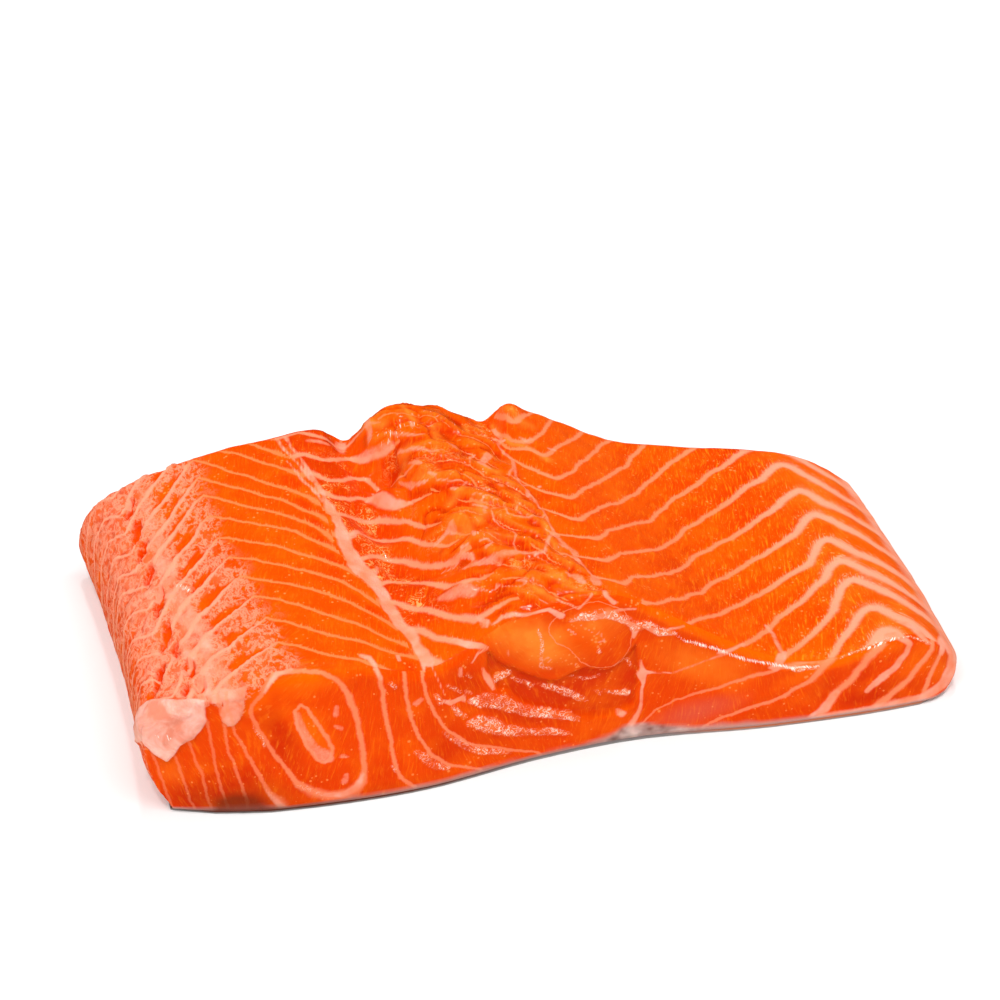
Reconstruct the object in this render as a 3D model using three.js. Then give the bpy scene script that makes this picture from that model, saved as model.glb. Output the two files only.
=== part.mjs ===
// A raw salmon portion, cut across a fillet from the back of the fish (left) to the belly (right).
// The flesh is one solid that lies on its own thin skin. Millimetres, +Z up, +X from the back of the
// fish to the belly, +Y along the fish. The origin is under the middle of the portion, on the board.
import * as THREE from "three";
import { mergeVertices } from "three/addons/utils/BufferGeometryUtils.js";

// Driving dimensions
const SKIN_THICKNESS = 0.9;
const SKIN_GAP = 0.3;
const SKIN_INSET = 0.2;
const FLESH_FLOOR = SKIN_THICKNESS + SKIN_GAP;
const EDGE_RADIUS = 2.2;
const OUTLINE_STEPS = 100;
const LENGTH_STEPS = 42;
const CUT_FACE_ROWS = 5;
const SKIN_CORNER_STEPS = 24;

// The outline of the front cut and of the back cut, from the lower left edge over the top to the lower
// right edge. Point by point they name the same place: side, shoulder, loin, dip, ridge, slope, belly.
const FRONT_OUTLINE = [
  [-72.3, 0], [-75.3, 5.6], [-76.6, 12.5], [-75.4, 19.5], [-70, 23.7], [-62, 26.2], [-50, 28.4], [-42, 28.5],
  [-35, 27.4], [-30, 25.8], [-26, 25.2], [-19, 27.6], [-12, 31.9], [-5, 34.4], [3, 35], [10, 34.2],
  [15, 31.3], [22, 26.5], [36, 17.6], [46, 13.6], [56, 14.8], [62, 16.6], [67, 16], [71, 13.4],
  [75, 9], [77.2, 5.2], [76.9, 2.4], [74, 0],
];
const BACK_OUTLINE = [
  [-74, 0], [-79.3, 5], [-78.3, 12], [-75.3, 17.6], [-71.5, 21.2], [-63, 25.6], [-50, 29.4], [-41, 30.5],
  [-34.5, 31.5], [-30.5, 30.5], [-26.5, 27.9], [-22, 30.9], [-17, 34.5], [-12, 34.2], [-5, 31.3],
  [0.2, 29], [4, 31.5], [10, 29.4], [27, 19.1], [42, 14.9], [54, 12.6], [62, 11], [67, 9.3], [71, 7.2],
  [74.2, 5], [76, 3.5], [75.8, 1.7], [73.5, 0],
];
// Where the two knife cuts run: x, then y at the board and y at the top edge, which leans back.
const FRONT_CUT = [
  [-79, -32.5, -32.5], [-62, -37.8, -36.4], [-50, -39.4, -36.4], [-27, -39.2, -36.4], [-5, -35.4, -35],
  [15, -33.9, -34.4], [40, -36, -35.8], [70, -35.6, -35.4], [77, -32, -32],
];
const BACK_CUT = [
  [-79, 42, 41], [-72, 38.5, 37.5], [-50, 36, 36], [-28, 37, 36], [0, 36, 35], [30, 37, 36.5],
  [60, 36, 35.5], [76, 32, 32],
];
const LEAN_HEIGHT = 30;
const BELLY_BULGE = 0.8;
const SIDE_DISH = 1.2;

// Rolls and lumps of torn muscle on the ridge, and the hollows between them: x, y, half length, half
// width, turn in degrees, height.
const RIDGE_LUMPS = [
  [-21, 31.5, 8, 5.5, -10, 2], [-18.5, 25, 11, 4, -22, 2.2], [-22.5, 18.5, 5.5, 4, 65, -3.2],
  [-23, 12, 5.5, 2.6, -52, 2.2], [-17, 12.5, 5, 5.5, 0, 2], [-13, 18.5, 7, 4, -8, 1.6],
  [-12, 8, 6, 3.2, -12, 1.4], [-9, 27, 7, 4, -35, 1.2], [-4, 20, 6, 4, -50, 1.1],
  [-8, 1, 6, 3.5, -35, 1.2], [-12, -5, 6, 3.5, -25, 1.3], [-3, -6, 5, 4, -40, 1],
  [-11, -12, 5, 3, -20, 1.4], [-16, -21.5, 4.5, 2.6, -20, 1.3], [-8, -17, 6, 3, -25, 1],
  [-1, -17, 5, 3.5, -50, 1], [-12, -26, 6, 3.5, -25, -1.4], [-5, -25, 5, 3, -30, 0.9],
  [-27, 6, 9, 5, -60, -1.6], [-23, -8, 10, 5, -55, -1.6], [-17, -14, 5, 3, -40, -1],
  [-28, 33, 3.5, 5, 0, -1.4], [2, 31, 2.4, 7, 0, -1.2], [6, 32, 3.5, 5, 0, 1],
];

// The flap of pale fat that hangs over the front left corner: centre, reach and how far it stands out.
const FAT_FLAP = { centre: [-71, -34.5, 19], reach: [8.5, 7, 6.5], lift: [-0.8, -1.1, 0.3] };

// Cubic through the knots, with slopes from each knot's neighbours; one value for each column.
function alongKnots(knots, column, at) {
  const last = knots.length - 1;
  const i = Math.min(last - 1, Math.max(0, knots.findIndex((k) => k[0] > at) - 1 + (at >= knots[last][0] ? last + 1 : 0)));
  const slope = (k) => {
    const a = knots[Math.max(0, k - 1)];
    const b = knots[Math.min(last, k + 1)];
    return (b[column] - a[column]) / (b[0] - a[0]);
  };
  const span = knots[i + 1][0] - knots[i][0];
  const t = Math.min(1, Math.max(0, (at - knots[i][0]) / span));
  const [p, q] = [knots[i][column], knots[i + 1][column]];
  const [m, n] = [slope(i) * span, slope(i + 1) * span];
  return p + t * (m + t * (3 * (q - p) - 2 * m - n + t * (2 * (p - q) + m + n)));
}

// Knots along an outline: travelled share, x and z.
function travelled(outline) {
  const knots = [];
  let length = 0;
  outline.forEach(([x, z], i) => {
    if (i) length += Math.hypot(x - outline[i - 1][0], z - outline[i - 1][1]);
    knots.push([length, x, z]);
  });
  return knots.map(([l, x, z]) => [l / length, x, z]);
}
const frontKnots = travelled(FRONT_OUTLINE);
const backKnots = travelled(BACK_OUTLINE).map((k, i) => [frontKnots[i][0], k[1], k[2]]);

// Height that a lump or hollow adds at (x, y): a cushion that fades to nothing at its rim.
function lumpAt(x, y, [cx, cy, half, wide, turn, height]) {
  const c = Math.cos(THREE.MathUtils.degToRad(turn));
  const s = Math.sin(THREE.MathUtils.degToRad(turn));
  const along = ((x - cx) * c + (y - cy) * s) / half;
  const across = ((y - cy) * c - (x - cx) * s) / wide;
  const q = along * along + across * across;
  return q < 1 ? height * (1 - q) ** 2 : 0;
}

// A knife cut's y at x and height z: straight from the board to the top edge.
function cutY(cut, x, z) {
  const share = Math.min(1, Math.max(0, z / LEAN_HEIGHT));
  return THREE.MathUtils.lerp(alongKnots(cut, 1, x), alongKnots(cut, 2, x), share);
}

// Pushes a point out where the fat flap lies.
function withFlap(p) {
  const q = p.toArray().reduce((sum, v, i) => sum + ((v - FAT_FLAP.centre[i]) / FAT_FLAP.reach[i]) ** 2, 0);
  return q < 1 ? p.addScaledVector(new THREE.Vector3(...FAT_FLAP.lift), (1 - q) ** 1.5) : p;
}

// The point of the outer surface at a share of the outline and a share of the length.
function surfacePoint(share, length) {
  const x = THREE.MathUtils.lerp(alongKnots(frontKnots, 1, share), alongKnots(backKnots, 1, share), length);
  const z = THREE.MathUtils.lerp(alongKnots(frontKnots, 2, share), alongKnots(backKnots, 2, share), length);
  const y = THREE.MathUtils.lerp(cutY(FRONT_CUT, x, z), cutY(BACK_CUT, x, z), length);
  const relief = RIDGE_LUMPS.reduce((sum, lump) => sum + lumpAt(x, y, lump), 0);
  const sway = BELLY_BULGE * THREE.MathUtils.smoothstep(x, 50, 77) + SIDE_DISH * (1 - THREE.MathUtils.smoothstep(x, -79, -68));
  return new THREE.Vector3(x + sway * Math.sin(Math.PI * length), y, FLESH_FLOOR + Math.max(0, z) * (1 - FLESH_FLOOR / 36) + relief);
}

// Rolls the cut edge over: near a cut both faces give way by the same amount, so they meet smoothly.
const roll = (distance) => 0.25 * EDGE_RADIUS * Math.max(0, 1 - distance / EDGE_RADIUS) ** 2;

// The outline's inward direction, so that an edge can be rolled towards the middle of the flesh.
function inward(share, length) {
  const a = surfacePoint(Math.max(0, share - 0.01), length);
  const b = surfacePoint(Math.min(1, share + 0.01), length);
  return new THREE.Vector3(b.z - a.z, 0, a.x - b.x).normalize();
}

// Skin of the flesh between the two cuts, as a grid: side, top and belly edge in one sweep.
function sweptPoint(i, j) {
  const share = i / OUTLINE_STEPS;
  const p = surfacePoint(share, j / LENGTH_STEPS);
  const fromFront = p.y - surfacePoint(share, 0).y;
  const fromBack = surfacePoint(share, 1).y - p.y;
  const fixed = i === 0 || i === OUTLINE_STEPS;
  p.addScaledVector(inward(share, j / LENGTH_STEPS), fixed ? 0 : roll(fromFront) + roll(fromBack));
  p.y += roll(fromFront) - roll(fromBack);
  return withFlap(p);
}

// A cut face, as uprights from the bottom edge to the outline.
function cutPoint(i, row, back) {
  const top = sweptPoint(i, back ? LENGTH_STEPS : 0);
  const left = sweptPoint(0, back ? LENGTH_STEPS : 0);
  const right = sweptPoint(OUTLINE_STEPS, back ? LENGTH_STEPS : 0);
  const across = THREE.MathUtils.smoothstep(i / OUTLINE_STEPS, 0, 0.12) * 0.06 + (i / OUTLINE_STEPS) * 0.94;
  const x = THREE.MathUtils.lerp(left.x, right.x, across);
  const bottom = new THREE.Vector3(x, alongKnots(back ? BACK_CUT : FRONT_CUT, 1, x), FLESH_FLOOR);
  const ends = i === 0 || i === OUTLINE_STEPS;
  return ends || row === CUT_FACE_ROWS ? top : withFlap(bottom.lerp(top, row / CUT_FACE_ROWS));
}

// Turns a list of triangles' corners into a geometry with shared vertices.
function solidFrom(corners) {
  const geometry = new THREE.BufferGeometry();
  geometry.setAttribute("position", new THREE.Float32BufferAttribute(corners.flatMap((p) => p.toArray()), 3));
  const merged = mergeVertices(geometry, 1e-4);
  const kept = [];
  for (let t = 0; t < merged.index.count; t += 3) {
    const [a, b, c] = [0, 1, 2].map((k) => merged.index.getX(t + k));
    if (a !== b && b !== c && a !== c) kept.push(a, b, c);
  }
  merged.setIndex(kept);
  merged.computeVertexNormals();
  return merged;
}

// Two triangles for each cell of a grid of points.
function grid(columns, rows, point, flip) {
  const corners = [];
  const net = Array.from({ length: columns + 1 }, (_, i) => Array.from({ length: rows + 1 }, (_, j) => point(i, j)));
  for (let i = 0; i < columns; i++) {
    for (let j = 0; j < rows; j++) {
      const [a, b, c, d] = [net[i][j], net[i + 1][j], net[i + 1][j + 1], net[i][j + 1]];
      corners.push(...(flip ? [a, c, b, a, d, c] : [a, b, c, a, c, d]));
    }
  }
  return corners;
}

// A flat face that fills a closed ring of points, seen from below.
function floorOf(ring) {
  const flat = ring.map((p) => new THREE.Vector2(p.x, p.y));
  return THREE.ShapeUtils.triangulateShape(flat, []).flatMap(([a, b, c]) => [ring[a], ring[c], ring[b]]);
}

function fleshGeometry() {
  const steps = (n) => Array.from({ length: n }, (_, i) => i);
  const ring = [
    ...steps(OUTLINE_STEPS).map((i) => cutPoint(i, 0, false)),
    ...steps(LENGTH_STEPS).map((j) => sweptPoint(OUTLINE_STEPS, j)),
    ...steps(OUTLINE_STEPS).map((i) => cutPoint(OUTLINE_STEPS - i, 0, true)),
    ...steps(LENGTH_STEPS).map((j) => sweptPoint(0, LENGTH_STEPS - j)),
  ];
  return solidFrom([
    ...grid(OUTLINE_STEPS, LENGTH_STEPS, sweptPoint, false),
    ...grid(OUTLINE_STEPS, CUT_FACE_ROWS, (i, row) => cutPoint(i, row, false), false),
    ...grid(OUTLINE_STEPS, CUT_FACE_ROWS, (i, row) => cutPoint(i, row, true), true),
    ...floorOf(ring),
  ]);
}

// The skin: one thin sheet under the flesh, a little short of its edges.
function skinGeometry() {
  const side = (back) =>
    Array.from({ length: SKIN_CORNER_STEPS + 1 }, (_, i) => {
      const p = cutPoint(Math.round((i / SKIN_CORNER_STEPS) * OUTLINE_STEPS), 0, back);
      const inset = back ? -SKIN_INSET : SKIN_INSET;
      return new THREE.Vector2(p.x, p.y + inset);
    });
  const outline = new THREE.Shape([...side(false), ...side(true).reverse()]);
  return new THREE.ExtrudeGeometry(outline, { depth: SKIN_THICKNESS, bevelEnabled: false });
}

const flesh = new THREE.Mesh(
  fleshGeometry(),
  new THREE.MeshStandardMaterial({ color: 0xf4621c, roughness: 0.35, metalness: 0 }),
);
flesh.name = "flesh";

const skin = new THREE.Mesh(
  skinGeometry(),
  new THREE.MeshStandardMaterial({ color: 0x8f8c8a, roughness: 0.4, metalness: 0 }),
);
skin.name = "skin";

const salmonPortion = new THREE.Group();
salmonPortion.add(flesh, skin);
const middle = new THREE.Box3().setFromObject(salmonPortion).getCenter(new THREE.Vector3());
salmonPortion.position.set(-middle.x, -middle.y, 0);

export default salmonPortion;
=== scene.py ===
import math
import bpy
import numpy as np
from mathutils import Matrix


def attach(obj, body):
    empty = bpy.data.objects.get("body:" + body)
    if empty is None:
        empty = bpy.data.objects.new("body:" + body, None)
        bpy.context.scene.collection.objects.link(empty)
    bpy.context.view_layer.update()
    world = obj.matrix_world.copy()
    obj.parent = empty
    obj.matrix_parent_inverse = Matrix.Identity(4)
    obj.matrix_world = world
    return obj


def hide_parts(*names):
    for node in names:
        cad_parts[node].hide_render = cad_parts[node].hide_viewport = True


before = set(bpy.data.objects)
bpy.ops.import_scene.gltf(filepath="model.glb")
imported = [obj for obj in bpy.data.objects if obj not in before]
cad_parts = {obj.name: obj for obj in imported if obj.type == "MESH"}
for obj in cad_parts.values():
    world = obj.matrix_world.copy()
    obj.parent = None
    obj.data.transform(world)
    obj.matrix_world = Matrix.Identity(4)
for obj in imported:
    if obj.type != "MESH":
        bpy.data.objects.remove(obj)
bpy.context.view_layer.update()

# The flesh. A raw piece of salmon cut across the fillet: the back of the fish is at the left, the
# belly at the right. It is made as one closed sheet: up the front cut, over the outside, down the
# back cut. All its sizes are millimetres. The last step moves its middle to the origin.
MIDDLE = (0.8688, -0.8137)
COLUMNS, FRONT_ROWS, BACK_ROWS, INNER_ROWS = 410, 54, 24, 129
# The skin is 0.9 mm thick, and the solid flesh starts 0.3 mm above it. Here the flesh reaches down to
# the skin, so that no gap shows, and meets the shape of the solid 4 mm up its outline.
FULL_HEIGHT, SOLID_FLOOR, FLESH_FLOOR, GAP_CLOSES = 36.0, 1.2, 0.9, (0, 4)
# Along the fish the rows lie closer together near both cuts, where the edges are rolled.
EDGE_RADIUS, EDGE_BAND, SLAB = 2.6, 3.0, 73.0
EDGE_STEPS = np.array([0, 0.3, 0.65, 1.05, 1.5, 2.0, 2.5])
BELLY_BULGE, BELLY = 0.8, (50, 77)
SIDE_DISH, SIDE = 1.2, (-79, -68)
LEAN_HEIGHT = 30.0
VIEW_SLOPE = 0.7
FAR = 99.0

# Both outlines run from the lower left edge over the top to the lower right edge: x, z.
FRONT_OUTLINE = np.array([
    (-72.3, 0), (-75.3, 5.6), (-76.6, 12.5), (-75.4, 19.5), (-70, 23.7), (-62, 26.2), (-50, 28.4),
    (-42, 28.5), (-35, 27.4), (-30, 25.8), (-26, 25.2), (-19, 27.6), (-12, 31.9), (-5, 34.4), (3, 35),
    (10, 34.2), (15, 31.3), (22, 26.5), (36, 17.6), (46, 13.6), (56, 14.8), (62, 16.6), (67, 16),
    (71, 13.4), (75, 9), (77.2, 5.2), (76.9, 2.4), (74, 0)])
BACK_OUTLINE = np.array([
    (-74, 0), (-79.3, 5), (-78.3, 12), (-75.3, 17.6), (-71.5, 21.2), (-63, 25.6), (-50, 29.4),
    (-41, 30.5), (-34.5, 31.5), (-30.5, 30.5), (-26.5, 27.9), (-22, 30.9), (-17, 34.5), (-12, 34.2),
    (-5, 31.3), (0.2, 29), (4, 31.5), (10, 29.4), (27, 19.1), (42, 14.9), (54, 12.6), (62, 11),
    (67, 9.3), (71, 7.2), (74.2, 5), (76, 3.5), (75.8, 1.7), (73.5, 0)])
# The way across the fish is x on top, and goes on growing down both sides. The feet of the uprights
# on a cut stand closer together at both ends than the outline over them.
ACROSS_LEFT, ACROSS_RIGHT = (-96, -89, -82, -76.5, -70.5), (75, 78, 81, 85)
FOOT_LEFT, FOOT_RIGHT = (-72.3, -71, -69.5, -67.5, -64.5, -59.5), (61, 65, 68.3, 70.8, 72.4, 73.4, 74)
# The knife cuts: x, y at the board, y at the top edge.
FRONT_CUT = [(-79, -32.5, -32.5), (-62, -37.8, -36.4), (-50, -39.4, -36.4), (-27, -39.2, -36.4),
             (-5, -35.4, -35), (15, -33.9, -34.4), (40, -36, -35.8), (70, -35.6, -35.4), (77, -32, -32)]
BACK_CUT = [(-79, 42, 41), (-72, 38.5, 37.5), (-50, 36, 36), (-28, 37, 36), (0, 36, 35),
            (30, 37, 36.5), (60, 36, 35.5), (76, 32, 32)]


def through(knots, at, column=1):
    """A smooth curve through knots: on each span the cubic whose end slopes are the slopes between
    the neighbouring knots. It stays level beyond the ends."""
    knots = np.asarray(knots, float)
    place, value = knots[:, 0], knots[:, column]
    slope = np.gradient(value)
    slope[1:-1] = (value[2:] - value[:-2]) / (place[2:] - place[:-2])
    slope[0] = (value[1] - value[0]) / (place[1] - place[0])
    slope[-1] = (value[-1] - value[-2]) / (place[-1] - place[-2])
    span = np.clip(np.searchsorted(place, at, side="right") - 1, 0, len(place) - 2)
    width = place[span + 1] - place[span]
    t = np.clip((at - place[span]) / width, 0, 1)
    rise = value[span + 1] - value[span]
    start, end = slope[span] * width, slope[span + 1] * width
    return value[span] + t * (start + t * (3 * rise - 2 * start - end + t * (start + end - 2 * rise)))


def ease(low, high, at):
    """From 0 at low to 1 at high, level at both ends: t * t * (3 - 2 * t)."""
    t = np.clip((at - low) / (high - low), 0, 1)
    return t * t * (3 - 2 * t)


def mix(a, b, share):
    """a where the share is 0, b where it is 1, and in between in proportion."""
    return a + (b - a) * share


def steps(at, marks):
    """How many marks have been passed, and the share of the gap to the next: the sum over the gaps
    of the share of each that lies behind. Marks may be numbers or arrays."""
    return sum(np.clip((at - a) / (b - a), 0, 1) for a, b in zip(marks[:-1], marks[1:]))


def unit(vectors):
    """The same directions with length 1: each vector over its own length."""
    return vectors / np.maximum(np.linalg.norm(vectors, axis=-1, keepdims=True), 1e-9)


def grain(points, size, seed):
    """A smooth random field from -1 to 1: values on the corners of cubes of the given size, eased
    between them. The value of a corner is a fixed hash of its place and the seed."""
    scaled = points / size
    corner = np.floor(scaled).astype(np.int64)
    t = scaled - corner
    t = t * t * (3 - 2 * t)
    total = 0
    for step in np.ndindex(2, 2, 2):
        key = (corner + step) * (73856093, 19349663, 83492791)
        key = key[..., 0] ^ key[..., 1] ^ key[..., 2] ^ (seed * 2654435761)
        key = (key ^ (key >> 13)) * 1274126177 & 0xFFFFFFFF
        value = ((key ^ (key >> 16)) & 0xFFFF) / 32767.5 - 1
        total = total + value * np.where(step, t, 1 - t).prod(-1)
    return total


FRONT_X, FRONT_Z, FRONT_ACROSS, FRONT_FOOT, BACK_X, BACK_Z, BACK_ACROSS, BACK_FOOT = range(1, 9)


def outline_knots():
    """For each knot the travelled share of the front outline, then x, z, way across and foot of the
    front, then the same of the back."""
    step = np.hypot(*np.diff(FRONT_OUTLINE, axis=0).T)
    columns = [np.concatenate([[0], np.cumsum(step)]) / step.sum()]
    for outline in (FRONT_OUTLINE, BACK_OUTLINE):
        across, foot = outline[:, 0].copy(), outline[:, 0].copy()
        across[:len(ACROSS_LEFT)], across[-len(ACROSS_RIGHT):] = ACROSS_LEFT, ACROSS_RIGHT
        foot[:len(FOOT_LEFT)], foot[-len(FOOT_RIGHT):] = FOOT_LEFT, FOOT_RIGHT
        columns += [outline[:, 0], outline[:, 1], across, foot]
    return np.column_stack(columns)


def cut_y(cut, x, z):
    """Where a knife cut lies: straight from its line on the board to its line at the top edge."""
    return mix(through(cut, x, 1), through(cut, x, 2), np.clip(z / LEAN_HEIGHT, 0, 1))


def outside(share, length):
    """The outer surface: the front and the back outline mixed along the length, a little bowed at
    the belly and dished at the side, by a sine of the length. Gives points and the way across."""
    knots = outline_knots()
    x = mix(through(knots, share, FRONT_X), through(knots, share, BACK_X), length)
    z = mix(through(knots, share, FRONT_Z), through(knots, share, BACK_Z), length)
    across = mix(through(knots, share, FRONT_ACROSS), through(knots, share, BACK_ACROSS), length)
    y = mix(cut_y(FRONT_CUT, x, z), cut_y(BACK_CUT, x, z), length)
    sway = BELLY_BULGE * ease(*BELLY, x) + SIDE_DISH * (1 - ease(*SIDE, x))
    z = (FLESH_FLOOR + np.maximum(z, 0) * (FULL_HEIGHT - SOLID_FLOOR) / FULL_HEIGHT
         + (SOLID_FLOOR - FLESH_FLOOR) * ease(*GAP_CLOSES, z))
    return np.stack([x + sway * np.sin(math.pi * length), y, z], -1), across


def cut_face(share, rise, length):
    """A cut face: straight uprights from their feet on the board to the outline. Gives points, the
    way across and the depth below the edge."""
    top, across = outside(share, np.full_like(share, length))
    foot = through(outline_knots(), share, BACK_FOOT if length else FRONT_FOOT)
    foot_y = through(BACK_CUT if length else FRONT_CUT, foot, 1)
    low = np.stack([foot, foot_y, np.full_like(foot, FLESH_FLOOR)], -1)
    points = mix(low, top, rise[..., None])
    return points, across, np.linalg.norm(top - points, axis=-1)


def rises(rows):
    """How high the rows of a cut face lie, closer together towards its edge: 1 less the power 1.25
    of the share that is left."""
    return 1 - (1 - np.linspace(0, 1, rows + 1)) ** 1.25


def stacked(*values):
    """One grid from the values on the front cut, the outside and the back cut. A number fills its
    whole part. The rows at both edges come twice, once for each face."""
    return np.concatenate([np.full(part.shape[:2], float(value)) if np.isscalar(value) else value
                           for value, part in zip(values, (front, outer, back))])


share_line = np.linspace(0, 1, COLUMNS + 1)
inner_line = np.linspace(EDGE_BAND, SLAB - EDGE_BAND, INNER_ROWS)
length_line = np.concatenate([EDGE_STEPS, inner_line, SLAB - EDGE_STEPS[::-1]]) / SLAB
back_grid = np.meshgrid(share_line, rises(BACK_ROWS)[::-1])
front, front_across, front_depth = cut_face(*np.meshgrid(share_line, rises(FRONT_ROWS)), 0.0)
outer, outer_across = outside(*np.meshgrid(share_line, length_line))
back, back_across, back_depth = cut_face(*back_grid, 1.0)
twin = cut_face(*back_grid, 0.0)[0]

points = stacked(front, outer, back)
across = stacked(front_across, outer_across, back_across)
on_front, on_outside, on_back = stacked(1, 0, 0) > 0, stacked(0, 1, 0) > 0, stacked(0, 0, 1) > 0
from_front = outer[..., 1] - outer[:1, :, 1]
from_back = outer[-1:, :, 1] - outer[..., 1]
from_cut = stacked(0, np.minimum(from_front, from_back), 0)
from_first = stacked(0, from_front, FAR)
edge_depth = stacked(front_depth, 0, FAR)

# Coordinates on the front cut, x and height, carried on over both edges and onto the back cut. Past
# an edge the height grows by 0.7 for each mm along the fish.
face_x = stacked(front[..., 0], mix(outer[..., 0], outer[:1, :, 0], ease(30, 60, from_front)), twin[..., 0])
over_edge = np.where(from_front < from_back, outer[..., 2] + VIEW_SLOPE * from_front,
                     outer[:1, :, 2] + VIEW_SLOPE * from_back)
face_z = stacked(front[..., 2], over_edge, twin[..., 2])


def roll(distance):
    """How far a cut edge gives way at a distance from it, so that both faces meet in a curve: a
    quarter of the radius times the square of the share of the radius that is left."""
    return 0.25 * EDGE_RADIUS * np.maximum(0, 1 - distance / EDGE_RADIUS) ** 2


def inward(points):
    """The direction into the flesh, square to the outline, for a grid of outside points."""
    run = np.gradient(points, axis=1)
    return unit(np.stack([run[..., 2], 0 * run[..., 1], -run[..., 0]], -1))


# Rolled edges: the outside sinks and the cut faces draw back near the edge.
pinned = np.ones_like(across)
pinned[:, [0, -1]] = 0
sink = stacked(roll(front_depth), roll(from_front) + roll(from_back), roll(back_depth)) * pinned
into = stacked(inward(outer[:1] + 0 * front), inward(outer), inward(outer[-1:] + 0 * back))
points = points + into * sink[..., None]
points[..., 1] += stacked(roll(front_depth), roll(from_front) - roll(from_back), -roll(back_depth))

# The muscle of a fish is stacked in thin W-shaped sheets with pale fat between them. Where they meet
# the surface they show as pale lines. Each family of lines is given by where its lines cross a few
# guides that run along the fish; a phase grows by one from line to line.
x = across + 0.5 * grain(points, 5.0, 3) + 0.12 * grain(points, 2.1, 4)
y = points[..., 1] + 0.45 * grain(points, 4.5, 5) + 0.16 * grain(points, 1.7, 6)
height = points[..., 2]

# The apex of the W on the back, and the valley beside the ridge: y, x.
APEX_PATH = [(-45, -49.8), (-27, -50.3), (-19, -51), (-12, -52.3), (1.5, -54.8), (8, -55.8),
             (15, -56.3), (41, -57)]
VALLEY_PATH = [(-38, -25.5), (-29.5, -26.8), (-24.5, -28.2), (-19, -29.8), (-10, -32.5), (-3.5, -34.8),
               (5.5, -34.7), (11.5, -35.3), (21, -37.4), (36, -41)]
LEFT_GUIDES = [-96, -84, -76, -71, -66.8, -62]
# y of each line on the apex, at one and two thirds of the way to the valley, and on the valley. On a
# guide it is what it is on the apex and the fall there.
LEFT_FALL = (-37, -22, -17, -20, -13.5, -7)
LEFT_LINES = [
    (77.5, 71.5, 65.5, 57.5), (70, 64, 58, 50), (62.5, 56.5, 50.5, 42.5), (55, 49, 43, 35),
    (48, 42, 35.5, 28), (41, 35.3, 28.7, 20.5), (34.3, 27.4, 20.7, 11), (28, 21.6, 14.9, 5.5),
    (22.3, 15, 9.3, 0.3), (15, 9, 4.2, -3.6), (7.8, 2.5, -2.9, -10), (1.3, -4.2, -9.4, -18.3),
    (-5.8, -11.2, -17, -24.3), (-12.3, -18.3, -24.6, -29.8), (-19.3, -26, -30.3, -33.2),
    (-27, -32.6, -35.8, -39), (-35.5, -40, -43, -46), (-44, -48, -51, -54)]


def phase_of(guide, lines, kinked):
    """Counts lines from back to front: each line is a curve over the numbered guides, mixed from a
    smooth and a straight one by how kinked it is. The phase is the number of lines behind a point
    plus the share of the gap to the next."""
    places = np.arange(len(lines[0]))
    return steps(-y, [-mix(through(list(enumerate(line)), guide), np.interp(guide, places, line), kinked)
                      for line in lines])


apex_x, valley_x = through(APEX_PATH, y), through(VALLEY_PATH, y)
beyond = x - valley_x
between = [mix(apex_x, valley_x, share) for share in (1 / 3, 2 / 3)]
left_phase = phase_of(
    steps(x, LEFT_GUIDES + [apex_x] + between + [valley_x]),
    [[line[0] + fall for fall in LEFT_FALL] + list(line) for line in LEFT_LINES], kinked=0.7)

# Between the valley and the ridge the lines lie like the rungs of a ladder: y at these x.
LADDER_GUIDES = (-36, -33, -30, -27.3, -24.5, -21.5, -18.5, -15.5)
LADDER_LINES = [
    (42, 41, 41, 42, 41, 39, 37, 36), (34.5, 33, 32.5, 33.5, 32.5, 31, 30, 29),
    (27, 25.2, 25.8, 27.8, 25.7, 24, 22.7, 22), (21, 18.8, 19.5, 22, 20.8, 17, 14.5, 13),
    (15.5, 13.2, 13.2, 15.2, 12, 8.7, 6.7, 5.7), (9.5, 8.2, 9, 9.4, 8, 3.7, -1, -3.5),
    (2, 1.7, 3, 4.5, 2, -1.5, -5.8, -9), (-6, -5.5, -4.5, -2.5, -4, -7, -10.5, -13.3),
    (-13, -12.5, -12, -10.3, -10.8, -14, -18, -21.5), (-17, -17, -16.8, -17, -19.3, -22.7, -26.8, -30.5),
    (-22, -22.5, -23, -24, -26.3, -30, -33.7, -37), (-30, -30.5, -31, -32, -34, -37.5, -41, -44),
    (-38, -38.5, -39, -40, -42, -45, -48, -51)]
ladder_phase = phase_of(steps(x, LADDER_GUIDES), LADDER_LINES, kinked=0.2)

RIDGE_EDGE = [(-38, 8.5), (-30, 7.5), (-27, 6), (-21, 5), (-12, 3.8), (-3, 3.3), (4, 1.9), (16, 2.4),
              (22, 0.6), (30, 1.8), (36, 1.8)]
RIGHT_TURN = [(-34.5, 14.5), (-28, 12.3), (-20.7, 11.2), (-13, 10.8), (-6.3, 10), (1, 9.7), (8.3, 9),
              (16.3, 8.5), (21, 6.4), (36, 5)]
RIGHT_GUIDES = [15, 25, 35, 45, 55, 60.5, 65, 70, 76, 86]
RIGHT_FALL = (-5, -9.5, -14, -34)
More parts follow.
